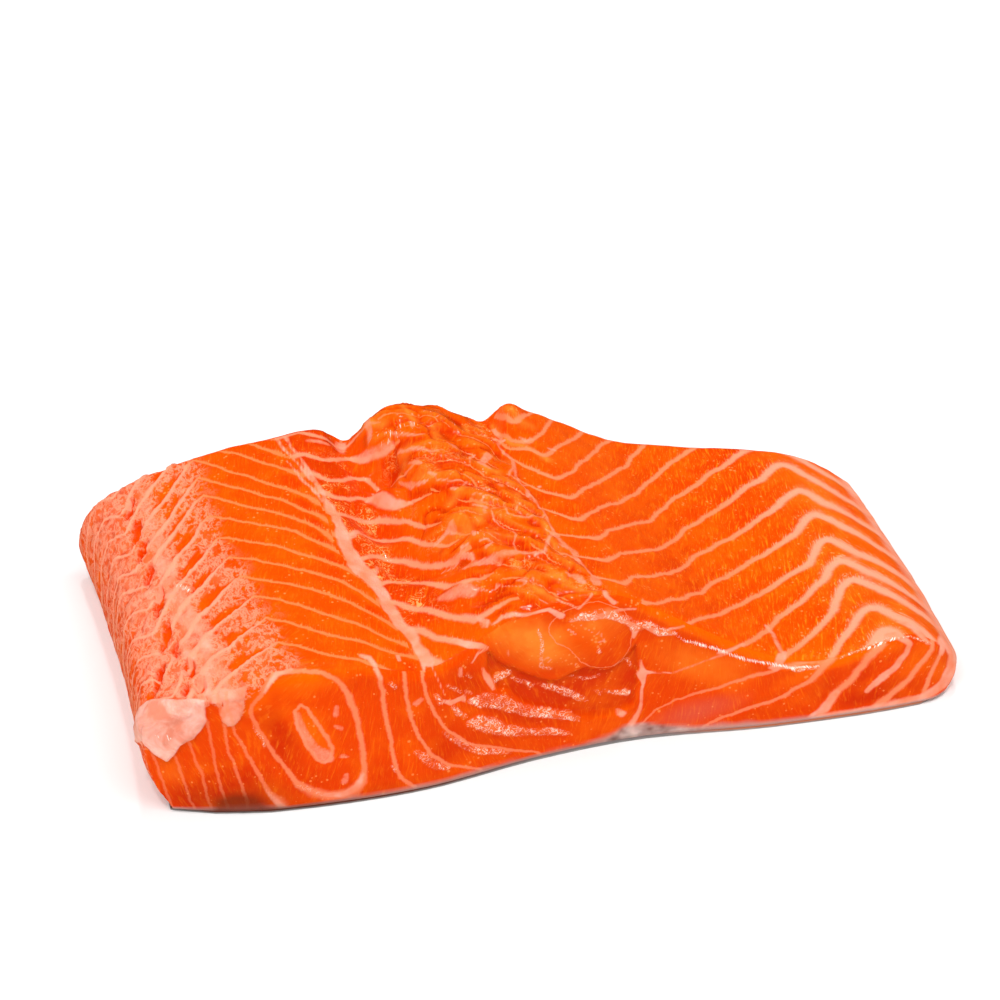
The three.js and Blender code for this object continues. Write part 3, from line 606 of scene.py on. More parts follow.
# Streaks of fat with wet specks on the lower part of the cut, where the muscle tore a little; the specks
# are painted highlights. The last path is a painted highlight along the top edge of the cut.
SPECKLED = {
    0.25: [[(-57, 19.2, 0.2), (-56, 16.6, 0.5), (-55.4, 14.6, 0.2)],
        [(-50.8, 5.8, 0.2), (-48.6, 4.6, 0.8), (-45.6, 3, 0.3)],
        [(52, 14.4, 0.2), (57, 16.3, 0.4), (58.6, 16.3, 0.4)],
        [(62, 16.8, 0.4), (65.2, 17, 0.3), (69.6, 14.4, 0.5)]],
    0.3: [[(-12.7, 20.6, 1.4), (-10.6, 21.2, 1.4)], [(-9.8, 20, 0.3), (-7.6, 18.4, 0.9), (-5.8, 16.8, 0.6)],
        [(-4.9, 17.2, 0.3), (-3, 16, 1), (-1, 14.8, 1), (1, 13.4, 1.4), (3, 12, 1.2), (4.6, 11, 0.6)],
        [(6.2, 12.8, 0.4), (7, 11.7, 0.5)], [(8, 12.4, 0.5), (9.6, 11.6, 0.8), (12.2, 11.2, 1.2)],
        [(-22.8, 11.8, 0.6), (-21.2, 9.8, 0.9), (-18.6, 7.4, 1.2), (-16, 5.7, 1.4), (-13, 4.5, 1),
         (-10, 3.5, 0.4)],
        [(-5, 30.2, 0.3), (-4.6, 28, 0.4), (-4.6, 25, 0.5), (-4.4, 22, 0.5), (-2.6, 21, 0.4)],
        [(0.8, 17.6, 0.3), (4, 16, 0.5), (7, 16, 0.4)],
        [(9.6, 18.4, 0.3), (12, 19, 0.4), (12.8, 17.2, 0.3)], [(-24.4, 20.4, 0.6), (-23.4, 18.6, 0.9)],
        [(-22, 21.8, 0.4), (-19.6, 19.8, 0.4)], [(-18.4, 23.2, 0.5), (-17.6, 22.4, 0.4)],
        [(-21, 16.8, 0.6), (-20, 15, 0.8), (-18.6, 13.8, 0.5)], [(-32.4, 24, 0.5), (-31.6, 23, 0.5)],
        [(-32.5, 7, 0.6), (-31.8, 5.8, 0.5)], [(6.6, 23.8, 0.3), (6.4, 22.8, 0.5)],
        [(42.6, 13.2, 0.5), (44, 12.8, 0.9), (46, 13.4, 1), (47.6, 13.3, 0.5)]],
    0.35: [[(-17.6, 17, 1.2), (-15.4, 16.6, 3.2), (-12.2, 15.4, 3), (-10, 13.8, 2.2), (-7, 12, 2),
         (-5, 11, 1.8), (-2, 9.8, 1.4), (1, 8.9, 1.4), (3, 7.5, 0.6)],
        [(-18.2, 12.3, 1), (-16.4, 12.2, 2.4), (-14, 10.8, 2.8), (-12, 9.4, 2.4), (-9, 8, 1.8),
         (-6, 6.9, 1.2), (-2, 6, 1.4), (1, 4.6, 0.5)],
        [(-28.2, 8.6, 0.8), (-26.6, 7, 1.8), (-24.6, 4.9, 1.4), (-22.4, 3.6, 0.4)]],
    # A painted highlight: the wet strip along the top edge of the cut.
    0.4: [[(1, 30.6, 0.4), (2.8, 31.3, 1.2), (5.3, 31.1, 1.6), (7.8, 31.2, 1.7), (9.9, 29.8, 1.4),
         (11.4, 28.6, 1.3), (13.3, 27, 2.2), (15.4, 27, 1.4), (17.8, 25, 1.5), (20.4, 24.2, 0.4)]]}
THIN_SHRED, THIN_MARK = 0.2, 0.05
fat_and_highlights_on_top = np.maximum(strokes(x, y, FAT_ON_TOP) + 0.7 * grain(points, 1.5, 64),
                        np.minimum(strokes(x, y, RIDGE_MARKS), THIN_SHRED))
fat_and_highlights_on_top = np.maximum(fat_and_highlights_on_top, np.interp(x, (68.5, 71.5, 75.5), (OUTSIDE, -1, 1)))
fat_on_cut = np.minimum(strokes(fx, fz, MARKS_ON_FACE), THIN_MARK)
fat_and_highlights = np.maximum(np.where(on_face, fat_on_cut, fat_and_highlights_on_top), OUTSIDE)
fat_and_highlights = np.where(on_face | (from_first < 5), np.maximum(fat_and_highlights, strokes(fx, fz, FAT_AND_HIGHLIGHTS_ON_FACE)), fat_and_highlights)
speck = np.where(from_first < 2.5, strokes(fx, fz, SPECKLED), OUTSIDE)
fat_and_highlights_share, speck_share = ease(-1, 1, fat_and_highlights), ease(-1, 1, speck)

# Under the two smooth lobes the cut sinks to a trough with a sharp upper edge. Its dark red is partly the
# muscle's own and partly painted shade under the lobes.
TROUGH = [
    (-14.6, 27.2), (-13.6, 26.6), (-11.3, 24.1), (-8.4, 21.6), (-4.7, 19.1), (-1.3, 17.2), (1.6, 18.6),
    (4.1, 19.6), (6.6, 18.1), (8.25, 17.5), (10, 18.4), (12, 20.4), (13.6, 23), (14, 18), (14, 13),
    (13.4, 9), (11, 7.2), (7, 7), (3.6, 7.8), (1, 9.6), (-2, 10.6), (-5, 12), (-8, 14.2), (-10.4, 17.6),
    (-12.6, 18.4), (-14.4, 23)]
trough = np.where(on_front, -from_loop(fx, fz, TROUGH), OUTSIDE)

# The thin pink tissue that covers the back of the fish. It lies in strips along the lines, and shows
# the muscle in windows behind them and in deep slots along the outer side of the back. At the front
# left corner it is folded down over the cut, in a flap and a tongue. Slots: x, y of both ends, width.
SLOTS = [
    (-68.5, 31, -69.8, 26, 1.9), (-68.4, 23.5, -69.9, 16.5, 2.3), (-68.2, 16, -69.9, 10, 1.8),
    (-67.9, 8, -70.2, 1.5, 1.8), (-67.6, 0, -69.9, -8, 2), (-68.3, -11.5, -70.4, -18.5, 2),
    (-67.2, -17.5, -67.9, -22, 1.4), (-66.3, -24, -66.3, -29, 2.1), (-70.6, -22, -74.2, -29, 1.7),
    (-68.4, -30, -68.2, -33.5, 1.5), (-64.9, -30, -65.6, -34.5, 1.8)]
FLAP = [
    (-78, 19), (-77, 22.6), (-75.2, 24.4), (-72, 24.9), (-69, 25.2), (-66.6, 25.6), (-64.9, 25.4),
    (-64.9, 22.8), (-65.4, 21), (-66.5, 18.6), (-67.6, 17.2), (-69, 16.6), (-70, 15.7), (-71, 13.6),
    (-72.5, 11.9), (-74.2, 13.2), (-76.3, 15.2), (-78, 16)]
TONGUE = [
    (-62, 27.6), (-61.7, 25.7), (-61.8, 23.5), (-62.6, 21), (-61.6, 19.8), (-60.6, 19.7), (-59.6, 20.6),
    (-58.4, 22.4), (-58, 25.6), (-57.4, 27.6)]


def spindle(px, py, soft, mark):
    """A soft slit from one point to another: widest in the middle, where its width is the given one,
    and narrowing to both ends like the square root of what is left."""
    t, distance = near_segment(px, py, mark[:2], mark[2:4])
    return 1 - ease(-soft, soft, distance - mark[4] / 2 * np.sqrt(np.maximum(4 * t * (1 - t), 0.02)))


slot_x, slot_y = x + 0.4 * grain(points, 1.2, 40), y + 0.4 * grain(points, 1.4, 41)
slot = np.max([spindle(slot_x, slot_y, 0.25, mark) for mark in SLOTS], axis=0) * on_outside
behind_left = behind(left_line, left_phase)
gape = mix(0.5, 2.7, ease(-1.5, -8, x - apex_x)) * (1 + 0.4 * grain(points, 5.0, 43))
window = ease(0.2, 0.45, behind_left)
window = window * ease(gape + 0.25, gape - 0.25, behind_left + 0.4 * grain(points, 1.0, 44))
window_from = np.interp(y, (-36, -24, -10, 20), (-60, -60.5, -63.5, -65.6))
window = window * ease(0.6, 1.6, x - window_from + 1.0 * grain(points, 2.5, 45))
window = window * ease(0.2, -0.6, x - apex_x) * on_outside
left_share = left_phase - np.floor(left_phase)
reach = apex_x + np.sin(math.pi * left_share) + 1.6 * grain(points, 3.2, 12) + 0.6 * grain(points, 1.3, 13)
arm = np.exp(-(left_line / mix(0.4, 0.7, ease(-70, -64, x))) ** 4) * ease(-92, -84, x)
band_x = np.interp(y, (-36, -24, -10, 20), (-63.2, -63.6, -65, -66.3)) + 0.5 * grain(points, 4.0, 62)
band_half = np.interp(y, (-36, -24, -8, 5, 25), (4.6, 4.2, 2.6, 1.8, 1.3))
band = np.exp(-((x - band_x) / band_half) ** 4) * (0.86 + 0.34 * np.minimum(0.4, grain(points, 1.9, 71)))

tissue = 0.4 + 0.16 * grain(points, 2.4, 15) + 0.24 * ease(-64, -69, x)
tissue = np.maximum(np.maximum(tissue, 0.95 * arm * ease(0.5, -5, x - reach)), band)
tissue = np.clip(tissue * ease(2.5, -3.5, x - reach), 0, 1) * (1 - np.maximum(window, slot)) * ~on_back
tissue = tissue * mix(1, 0.45, ease(-74, -80, x + 0.12 * y + 1.5 * grain(points, 3.0, 46)))
tissue = tissue * ease(2.2, 1.2, edge_depth + 1.0 * grain(points, 1.6, 60)) * ease(0, 0.8, eye_ring)
tissue = tissue * (1 - 0.2 * ease(4, 26, y) * on_outside)
flap = np.where(from_first < 5, -from_loop(fx, fz, FLAP), OUTSIDE)
tongue = np.where(from_first < 2, -from_loop(fx, fz, TONGUE), OUTSIDE)
flap_share = ease(-0.3, 0.3, flap)

# The ridge: the muscle tore here where the bones were, into sheets that lap over each other, with
# lumps, creases and thin pale edges. The last number of a lump is its height.
LUMP_STRENGTH = 1.15
RIDGE_LUMPS = [
    (-21, 31.5, 8, 5.5, -10, 2), (-18.5, 25, 11, 4, -22, 2.2), (-22.5, 18.5, 5.5, 4, 65, -3.2),
    (-23, 12, 5.5, 2.6, -52, 2.2), (-17, 12.5, 5, 5.5, 0, 2), (-13, 18.5, 7, 4, -8, 1.6),
    (-12, 8, 6, 3.2, -12, 1.4), (-9, 27, 7, 4, -35, 1.2), (-4, 20, 6, 4, -50, 1.1),
    (-8, 1, 6, 3.5, -35, 1.2), (-12, -5, 6, 3.5, -25, 1.3), (-3, -6, 5, 4, -40, 1),
    (-11, -12, 5, 3, -20, 1.4), (-16, -21.5, 4.5, 2.6, -20, 1.3), (-8, -17, 6, 3, -25, 1),
    (-1, -17, 5, 3.5, -50, 1), (-12, -26, 6, 3.5, -25, -1.4), (-5, -25, 5, 3, -30, 0.9),
    (-27, 6, 9, 5, -60, -1.6), (-23, -8, 10, 5, -55, -1.6), (-17, -14, 5, 3, -40, -1),
    (-28, 33, 3.5, 5, 0, -1.4), (2, 31, 2.4, 7, 0, -1.2), (6, 32, 3.5, 5, 0, 1)]


def crease(size, seed, sharp):
    """A net of narrow valleys, 0 between them and -1 along them: where a random field is near 0."""
    return -np.maximum(0, 1 - np.abs(grain(points, size, seed)) / sharp) ** 2


def smoothed(value, times):
    """Each value mixed with its neighbours along rows and columns, a number of times: half its own
    and a quarter of each neighbour."""
    for _ in range(times):
        value = value.copy()
        value[1:-1] = (value[:-2] + 2 * value[1:-1] + value[2:]) / 4
        value[:, 1:-1] = (value[:, :-2] + 2 * value[:, 1:-1] + value[:, 2:]) / 4
    return value


on_ridge = ease(13, 18, beyond) * ease(1.5, -1.5, x - edge_x) * on_outside
lumps = LUMP_STRENGTH * ovals(points[..., 0], points[..., 1], RIDGE_LUMPS) * on_outside
sheet_lift = np.maximum(0, 0.5 + 0.8 * grain(points, 6.0, 53))
sheet_lift = sheet_lift * sheet_share ** 1.6 * ease(1.0, 0.82, sheet_share)
torn = 1.4 * sheet_lift + 0.6 * crease(7.5, 55, 0.12) + 0.5 * grain(points, 4.5, 56)
torn = torn + 0.3 * np.maximum(fat_and_highlights_share, ease(-2, 0, fat_and_highlights) * (fat_and_highlights <= 0))

# Relief, in mm out of the surface: torn sheets, the tissue, grooves at the fat lines, slots, the flap
# and the trough.
GROOVE_ON_TOP, GROOVE_ON_CUT = 0.16, 0.08
SLOT_DEPTH, WINDOW_DEPTH, BAND_DEPTH, TROUGH_DEPTH = 1.25, 0.25, 0.35, 0.9
FLAP_LIFT, TONGUE_LIFT = 0.7, 0.5
SWELLINGS = [(-48, 17, 10, 14, 0, 0.25), (-5, 27, 12, 6, -40, 0.9), (6, 26, 8, 9, 0, 0.7)]
chosen_line, chosen_half = (np.take_along_axis(each, family[None], 0)[0] for each in (lines, halves))
groove = np.exp(-(chosen_line / (chosen_half + 0.5)) ** 2) * (chosen_half > 0.05)
cloth = 0.45 + 0.14 * grain(points, 1.1, 22) + 0.2 * grain(points, 2.6, 23) + 0.25 * arm
cloth = cloth + 0.4 * ease(-66.5, -69, x) * crease(3.0, 61, 0.3)
relief = on_ridge * torn + tissue * cloth - np.where(on_face, GROOVE_ON_CUT, GROOVE_ON_TOP) * groove
relief = relief - SLOT_DEPTH * slot - WINDOW_DEPTH * window
relief = relief - BAND_DEPTH * ease(-1, 1, stroke(x, y, 1.2, THICK_BAND)) * ~on_face
relief = relief + TONGUE_LIFT * ease(-0.4, 0.4, tongue)
relief = relief + flap_share * (FLAP_LIFT + 0.25 * grain(points, 2.2, 24) + 0.15 * grain(points, 1.2, 42))
relief = relief + on_face * (ovals(fx, fz, SWELLINGS) - TROUGH_DEPTH * ease(-0.3, 0.6, trough)
                             + speck_share * (0.25 + 0.15 * grain(points, 0.9, 25)))
relief = relief + 0.05 * grain(points, 1.3, 26) + 0.12 * grain(points, 6.0, 27)
relief = relief * ease(0.9, 2.2, height) * pinned
full_relief = relief + lumps
# From -1 on crests to 1 in hollows: how far the surface lies below its smoothed self. It sets painted
# shade in the hollows, and painted light and glints on the crests.
hollow = np.clip((smoothed(full_relief, 10) - full_relief) / 0.25, -1, 1) * on_outside

# Deeper red and lighter orange. Partly the muscle's own tone: deeper where it is wet and thin, lighter where
# it is thick and smooth. Partly painted shade in pits, creases and hollows, under the lobes, low on the cut
# and a little over all of it, and painted light on crests and high on the cut.
# Painted shade, with some of the muscle's own deeper red: low on the cut and under the lobes.
DEEP_AND_SHADE_ON_FACE = [
    (-62, 6, 12, 9, 0, 1.3), (-66, 2, 15, 6, 0, 0.7), (-52.5, 16, 4, 10, 20, 1.1),
    (-47, 6, 8, 4, -20, 0.4), (-36, 4, 9, 6, 0, 0.5), (-18, 21, 6, 4, -60, 0.7),
    (-11, 13, 9, 2.4, -30, 0.6), (-6, 9.4, 8, 1.6, -20, 0.5), (-24, 8, 6, 4, -45, 0.5),
    (-14, 8, 6, 3, -30, 0.5), (8, 9, 9, 4, 0, 0.7), (-22, 10, 7, 9, 40, 0.3), (24, 6, 14, 4.5, 12, 0.2),
    (38, 3.5, 12, 3.5, 5, 0.4), (49, 8, 6, 3, 45, 0.5), (56, 4.5, 6, 3.5, 10, 1),
    (61, 5.6, 5, 3, 30, 0.8), (56, 9, 5, 2.4, 50, 0.6), (63.4, 3, 2.4, 2, 40, 0.8),
    (66.6, 5, 3, 3, 60, 0.5)]
# Painted light, with some of the muscle's own lighter tone: the upper parts of the cut and the lobes.
BRIGHT_AND_LIT_ON_FACE = [
    (-47, 27, 10, 4, 0, 1), (-56, 24.5, 4, 3.4, 30, 0.9), (-36, 30, 9, 4, 0, 0.6),
    (-6, 27, 13, 5.5, -35, 1), (5, 27, 9, 8, 0, 0.5), (26, 16, 14, 5.5, -25, 1), (-72, 10, 3, 8, 10, 0.7),
    (44, 11, 7, 3, 20, 0.8), (60, 15, 6, 3, 0, 0.5), (67.5, 12, 4, 7, -20, 1), (72, 7, 3.4, 4.5, 0, 1),
    (-46.4, 15.6, 8, 4, -62, 1)]
# Painted shade, with some darker muscle: pits and creases on the ridge and beside it.
DEEP_AND_SHADE_ON_TOP = [
    (-21.3, 15, 6.5, 2, 80, 1.2), (-12.7, -28, 5, 3, 20, 1), (-11, -32.3, 4, 1, 0, 1),
    (-16.8, -9, 2.5, 0.8, 70, 0.9), (-8.3, 14, 4, 1.6, 100, 0.6), (1, 30, 4, 1.2, 90, 0.7),
    (1.8, 20, 4, 1.6, 80, 0.6), (3, 11, 4, 2, 70, 0.5), (5, 2.5, 5, 4, 60, 0.5), (8, -4, 6, 4.5, 70, 0.4),
    (8.5, -23, 6, 4, 70, 0.5), (7, -16, 4, 2.4, 60, 0.4), (-8, 9, 4, 3, 0, 0.3), (-7, 24, 6, 3, -30, 0.3),
    (-13, 24, 3, 2, 0, 0.3), (-2, -22, 4, 2, -60, 0.4)]
LOBES = [(-6, 28, 13, 6, -35, 0.9), (6, 29, 7, 4.5, -20, 0.7), (26, 16, 14, 5, -25, 0.3),
         (-72, 10, 3, 6, 10, 0.3)]
in_ladder = ease(0, 2, beyond) * ease(15, 9, beyond) * ease(-28, -24, y)
behind_right = behind(right_line, right_phase)
# Painted shadow: a darker strip about 1.5 mm behind each line on the right.
painted_shadow_after_line = np.exp(-((behind_right - 1.5) / 1.2) ** 2) * ease(18, 32, x) * ease(66, 58, x)
# Painted shade: the ridge and the tissue darker in their hollows and creases.
painted_crease_shade = np.maximum(0.95 * on_ridge, ease(0, 0.4, tissue)) * ease(0.05, 0.75, hollow)
deep_and_shade_on_top = (
    ovals(x, y, DEEP_AND_SHADE_ON_TOP)
    # Painted shade: a dark strip beside the valley, where each sheet drops to the next like a shingle.
    + 0.7 * np.exp(-((x - valley_x + 2.6) / 2.2) ** 2) * ease(0.15, 0.5, left_share)
    # Darker in the wet ladder, the slots and the windows: the bare muscle's own deeper red, and painted
    # shade in these recesses.
    + 0.75 * in_ladder + 0.8 * slot + 0.15 * window + painted_crease_shade
    + on_ridge * (0.15 + 0.25 * grain(points, 5.0, 54))
    + mix(0.12, 0.4, ease(-34, -14, y)) * painted_shadow_after_line
    + 0.3 * ease(38, 50, x) * ease(60, 54, x) * ease(-10, 20, y))
deep_tone_and_shade = np.where(on_face, 0.12 + ovals(fx, fz, DEEP_AND_SHADE_ON_FACE), deep_and_shade_on_top)
deep_tone_and_shade = np.clip(deep_tone_and_shade + mix(0.12, 0.05, ease(5, 12, x)) * grain(points, 9.0, 16), 0, 1)
wet = ease(0.4, 1.6, beyond) * ease(11, 8, beyond) * ease(-27, -20, y) * ease(30, 22, y) * ~on_face
wet = np.maximum(wet, 0.6 * on_ridge * ease(0.15, 0.5, grain(points, 5.0, 70)))
bright_and_lit_on_face = ovals(fx, fz, BRIGHT_AND_LIT_ON_FACE)
# Painted light along the rolled top edge of the cut.
bright_and_lit_on_face = bright_and_lit_on_face + ease(3.0, 1.6, edge_depth) * ease(10, 18, fx) * ease(64, 52, fx)
# On top a random tone, lower at the far left, and painted light on the ridge's crests.
bright_and_lit_on_top = (0.35 + 0.3 * grain(points, 12.0, 17) - 0.2 * ease(-30, -45, x)
                 + on_ridge * 0.4 * ease(0, 0.6, -hollow))
bright_tone_and_light = np.clip(np.where(on_face, bright_and_lit_on_face, bright_and_lit_on_top), 0, 1)
# Paler marks: muscle that fat shines through, the lighter lobes on the cut, halos of the right lines, and
# painted highlight on the ridge's crests.
soft_pale_and_sheen = np.maximum.reduce([
    0.8 * ease(-1, 1, strokes(x, y, SOFT_ON_TOP)) * ~on_face, 0.28 * on_ridge * ease(0.55, 1, -hollow),
    np.clip(ovals(fx, fz, LOBES), 0, 1) * on_front,
    0.48 * np.exp(-(right_line / 2.2) ** 2) * ease(50, 68, x) * ~on_face])

# Grey where the skin's edge shows through the thin fat at the bottom of the cuts, and painted shade in
# brown at the foot of the front cut.
SKIN_SHOWS = ((-70, -60, -57, -52, -40, -28, 4, 8, 12, 16, 20, 26, 46, 75),
              (0.6, 2.2, 2, 0.6, 1.0, 1.1, 1, 2.2, 4, 3.6, 2.8, 2.2, 1.2, 0.6))
GREY_MARKS = [(25, 5.4, 13, 4.2, 14, 0.13)]
FOOT_SHADE_MARKS = [(-60.2, 1.6, 6.5, 4.5, 0, 1), (-52, 0.4, 22, 1.6, 0, 0.6), (-61, 2.4, 18, 7, 0, 0.34),
               (-36, 1.6, 26, 3, 0, 0.14)]
grey_height = np.interp(fx, *SKIN_SHOWS) + 0.4 * grain(points, 2.5, 18)
grey = ease(1.0, 0.0, (height - FLESH_FLOOR) / grey_height) * ~on_outside
grey = np.maximum(grey, ovals(fx, fz, GREY_MARKS) * on_front)
# Painted shade at the foot of the front cut.
painted_foot_shade = np.clip(ovals(fx, fz, FOOT_SHADE_MARKS), 0, 0.85) * on_front

# Where lines are palest, where silver skin shines at the cut, where glints of wet beads are painted along
# the edges and on the ridge's crests, and where the surface is wettest.
LINE_SHOWS = ((-66, -58, -50, -20, 20, 40, 55), (0.4, 0.52, 0.78, 0.75, 0.6, 0.8, 0.92))
SILVER = [(7.5, 0.4, 0.6), (12, 1.8, 3.4), (15.6, 2.4, 3.6), (19.5, 2, 1.6), (25, 1.2, 0.6)]
PAINTED_EDGE_GLINTS = {0.3: [[(56, -35.6, 0.4), (60, -35.6, 0.7), (63, -35.6, 0.4)]],
               0.4: [[(-64.5, -1, 0.5), (-63.6, -4, 0.9), (-62.2, -5.5, 0.6)]]}
PAINTED_BEAD_GLINTS = {0.3: [[(20, 24.2, 0.3), (23, 22.1, 0.8), (28, 19.8, 0.8), (31, 18.1, 0.8), (33.6, 16.4, 0.9),
                (36.4, 15.6, 0.7), (39.2, 14.6, 1.2), (42.6, 13.6, 0.9), (48, 13.6, 0.5)]],
         0.25: [[(-74, 18.2, 0.5), (-73.4, 17.8, 0.5)], [(-72, 18.2, 0.3), (-71.7, 17.4, 0.5)],
                [(-61.6, 24.4, 0.3), (-61.2, 22.8, 0.8), (-60.8, 22, 0.3)]]}
pale_on_top = (0.3 * ease(0, 6, x) + 0.7 * ease(40, 62, x) + 0.9 * ease(1, -3, x - apex_x)
               + 0.6 * ease(0, 1, beyond) * ease(20, 14, beyond))
line_pale = np.where(on_face, 0.35, np.clip(pale_on_top, 0, 1))
line_show = np.where(on_face, np.interp(fx, *LINE_SHOWS), LINE_SHOWS[1][-1])
# Painted glints on the ridge's crests.
painted_crest_glint = on_ridge * ease(0.3, 0.9, -hollow) * ease(0.0, 0.35, grain(points, 3.5, 72))
painted_glint = np.maximum.reduce([
    np.where(on_outside | (edge_depth < 0.7), strokes(x, y, PAINTED_EDGE_GLINTS), OUTSIDE),
    np.where(from_first < 2, strokes(fx, fz, PAINTED_BEAD_GLINTS), OUTSIDE), OUTSIDE + 2.7 * painted_crest_glint])
silver = ease(-1, 1, stroke(fx, fz, 0.6, SILVER)) * on_front
wettest = 0.7 * np.maximum(on_ridge, ease(0.4, 2, beyond) * ease(22, 15, beyond) * on_outside)
wettest = np.maximum.reduce([wettest, 0.5 * ease(-0.3, 0.6, trough), speck_share, 0.35 * tissue])

# Fibres: where each point lies across and along them, for the streaks in the flesh.
SLANT = ((-80, -66, -56, -45, -20, 10, 25, 45, 60, 64, 75),
         (0.4, 0.5, 0.5, 0.2, 0.3, 0.3, 0.25, 0.22, 0.1, -0.4, -0.6))
STREAKS_SHOW = ((-70, -50, -20, 10, 25, 40, 60, 66), (0.2, 0.35, 0.4, 0.5, 0.7, 1.0, 1.0, 0.5))
fibre_across = np.where(on_face, fx - 0.35 * np.sin(fx / 9) * fz, x - np.interp(x, *SLANT) * y)
fibre_along = np.where(on_face, fz, y)
fibre_show = np.where(on_face, 0.35, np.interp(x, *STREAKS_SHOW))

# The relief moves each point along its normal, and the lumps lift it. Both faces of an edge share
# their normal and their relief, so that the edge stays closed.
normal = unit(np.cross(np.gradient(points, axis=1), np.gradient(points, axis=0)))
edge_front, edge_back = len(front), len(front) + len(outer)
for first_row in (edge_front, edge_back):
    normal[first_row - 1] = normal[first_row] = unit(normal[first_row - 2] + normal[first_row + 1])
    relief[first_row - 1] = relief[first_row]
normal[:, 0], normal[:, -1] = (-1, 0, 0), (1, 0, 0)
points = points + normal * relief[..., None]
points[..., 2] += lumps
points[edge_front - 1] = points[edge_front]
points[edge_back] = points[edge_back - 1]
points[..., :2] += MIDDLE


def sheet_mesh(name, grid, bottom):
    """One closed mesh from a grid in mm: four corners to a face, points that coincide welded, and one
    flat face over the open bottom, whose outline is given. Gives the mesh, the grid point of each
    vertex, and for each face corner its own grid point and the one of its face's third corner."""
    index = np.arange(grid[..., 0].size).reshape(grid.shape[:2])
    quads = np.stack([index[:-1, :-1], index[:-1, 1:], index[1:, 1:], index[1:, :-1]], -1).reshape(-1, 4)
    flat = grid.reshape(-1, 3)
    near = np.round(flat * 5000).astype(np.int64)
    _, first, weld = np.unique(near, axis=0, return_index=True, return_inverse=True)
    weld = weld.reshape(-1)
    used = weld[quads] != np.roll(weld[quads], -1, axis=1)
    faces = used.sum(1) >= 3
    sizes = used[faces].sum(1)
    ring = weld[bottom]
    ring = first[ring[ring != np.roll(ring, 1)]]
    corners = np.concatenate([quads[faces][used[faces]], ring])
    thirds = np.concatenate([np.repeat(quads[faces, 2], sizes), ring])
    mesh = bpy.data.meshes.new(name)
    mesh.vertices.add(len(first))
    mesh.vertices.foreach_set("co", (flat[first] / 1000).ravel().astype(np.float32))
    mesh.loops.add(len(corners))
    mesh.loops.foreach_set("vertex_index", weld[corners].astype(np.int32))
    mesh.polygons.add(len(sizes) + 1)
    mesh.polygons.foreach_set("loop_start", np.concatenate([[0], np.cumsum(sizes)]).astype(np.int32))
    mesh.update(calc_edges=True)
    mesh.polygons.foreach_set("use_smooth", np.arange(len(sizes) + 1) < len(sizes))
    return mesh, first, corners, thirds


def keep(mesh, name, domain, values):
    """Keeps three numbers for each point or face corner of a mesh, for its material to read."""
    layer = mesh.attributes.new(name, "FLOAT_VECTOR", domain)
    layer.data.foreach_set("vector", np.stack(values, -1).ravel().astype(np.float32))


# A face takes its lines from the family of its third corner, so that none is drawn where two
# families meet. The bottom face takes those of the cut.
index = np.arange(family.size).reshape(family.shape)
bottom = np.concatenate([index[:, 0], index[-1], index[::-1, -1], index[0, ::-1]])
flesh_mesh, vertices, corners, thirds = sheet_mesh("salmon_flesh", points, bottom)
drawn = family.ravel()[thirds]
drawn[flesh_mesh.polygons[-1].loop_start:] = CUT
keep(flesh_mesh, "septum", "CORNER",
     [each.reshape(5, -1)[drawn, corners] for each in (lines, halves, turns)])
for name, values in (
        ("fat_and_highlights", (fat_and_highlights, tissue, speck)), ("tone", (deep_tone_and_shade, bright_tone_and_light, grey)), ("folded", (trough, flap, tongue)),
        ("rim", (soft_pale_and_sheen, painted_foot_shade, wet)), ("shine", (line_pale, silver, wettest)),
        ("show", (line_show, painted_glint, 0 * x)), ("fibre", (fibre_across, fibre_along, fibre_show))):
    keep(flesh_mesh, name, "POINT", [value.ravel()[vertices] for value in values])
flesh_mesh.validate()
flesh = bpy.data.objects.new("salmon_flesh", flesh_mesh)
bpy.context.scene.collection.objects.link(flesh)


def linear(hex_colour):
    """An sRGB hex colour as linear red, green, blue and alpha."""
    value = [int(hex_colour[i:i + 2], 16) / 255 for i in (1, 3, 5)]
    return tuple(v / 12.92 if v <= 0.04045 else ((v + 0.055) / 1.055) ** 2.4 for v in value) + (1.0,)


def add(tree, kind, inputs=(), out=0, **settings):
    """Adds one node to a tree and returns one of its outputs. Settings are the node's own properties.
    Inputs are numbers, hex colours or outputs of other nodes: a tuple fills the sockets in order, a
    dict those that it names by name or place."""
    made = tree.nodes.new(kind)
    for key, value in settings.items():
        setattr(made, key, value)
    for key, value in inputs.items() if isinstance(inputs, dict) else enumerate(inputs):
        if isinstance(value, bpy.types.NodeSocket):
            tree.links.new(value, made.inputs[key])
        else:
            made.inputs[key].default_value = linear(value) if isinstance(value, str) else value
    return made.outputs[out] if made.outputs else made


# Raw salmon: wet, smooth muscle that lets light in a few millimetres, so it glows orange; fat lines
# are paler and duller; a film of water gives it small sharp lights.
MATH, MIX, NOISE, RANGE = "ShaderNodeMath", "ShaderNodeMix", "ShaderNodeTexNoise", "ShaderNodeMapRange"
SPLIT, BUMP, CELLS = "ShaderNodeSeparateXYZ", "ShaderNodeBump", "ShaderNodeTexVoronoi"
PLUS, MINUS, TIMES, OVER, SIZE, GREATER, LESS, MOST = ({"operation": name} for name in (
    "ADD", "SUBTRACT", "MULTIPLY", "DIVIDE", "ABSOLUTE", "GREATER_THAN", "LESS_THAN", "MAXIMUM"))
TIMES_PLUS = {"operation": "MULTIPLY_ADD"}
CLAMP = {"use_clamp": True}
SMOOTH = {"interpolation_type": "SMOOTHSTEP"}
COLOUR = {"out": 2, "data_type": "RGBA"}
raw = bpy.data.materials.new("raw_salmon")
raw.use_nodes = True
tree = raw.node_tree
tree.nodes.clear()
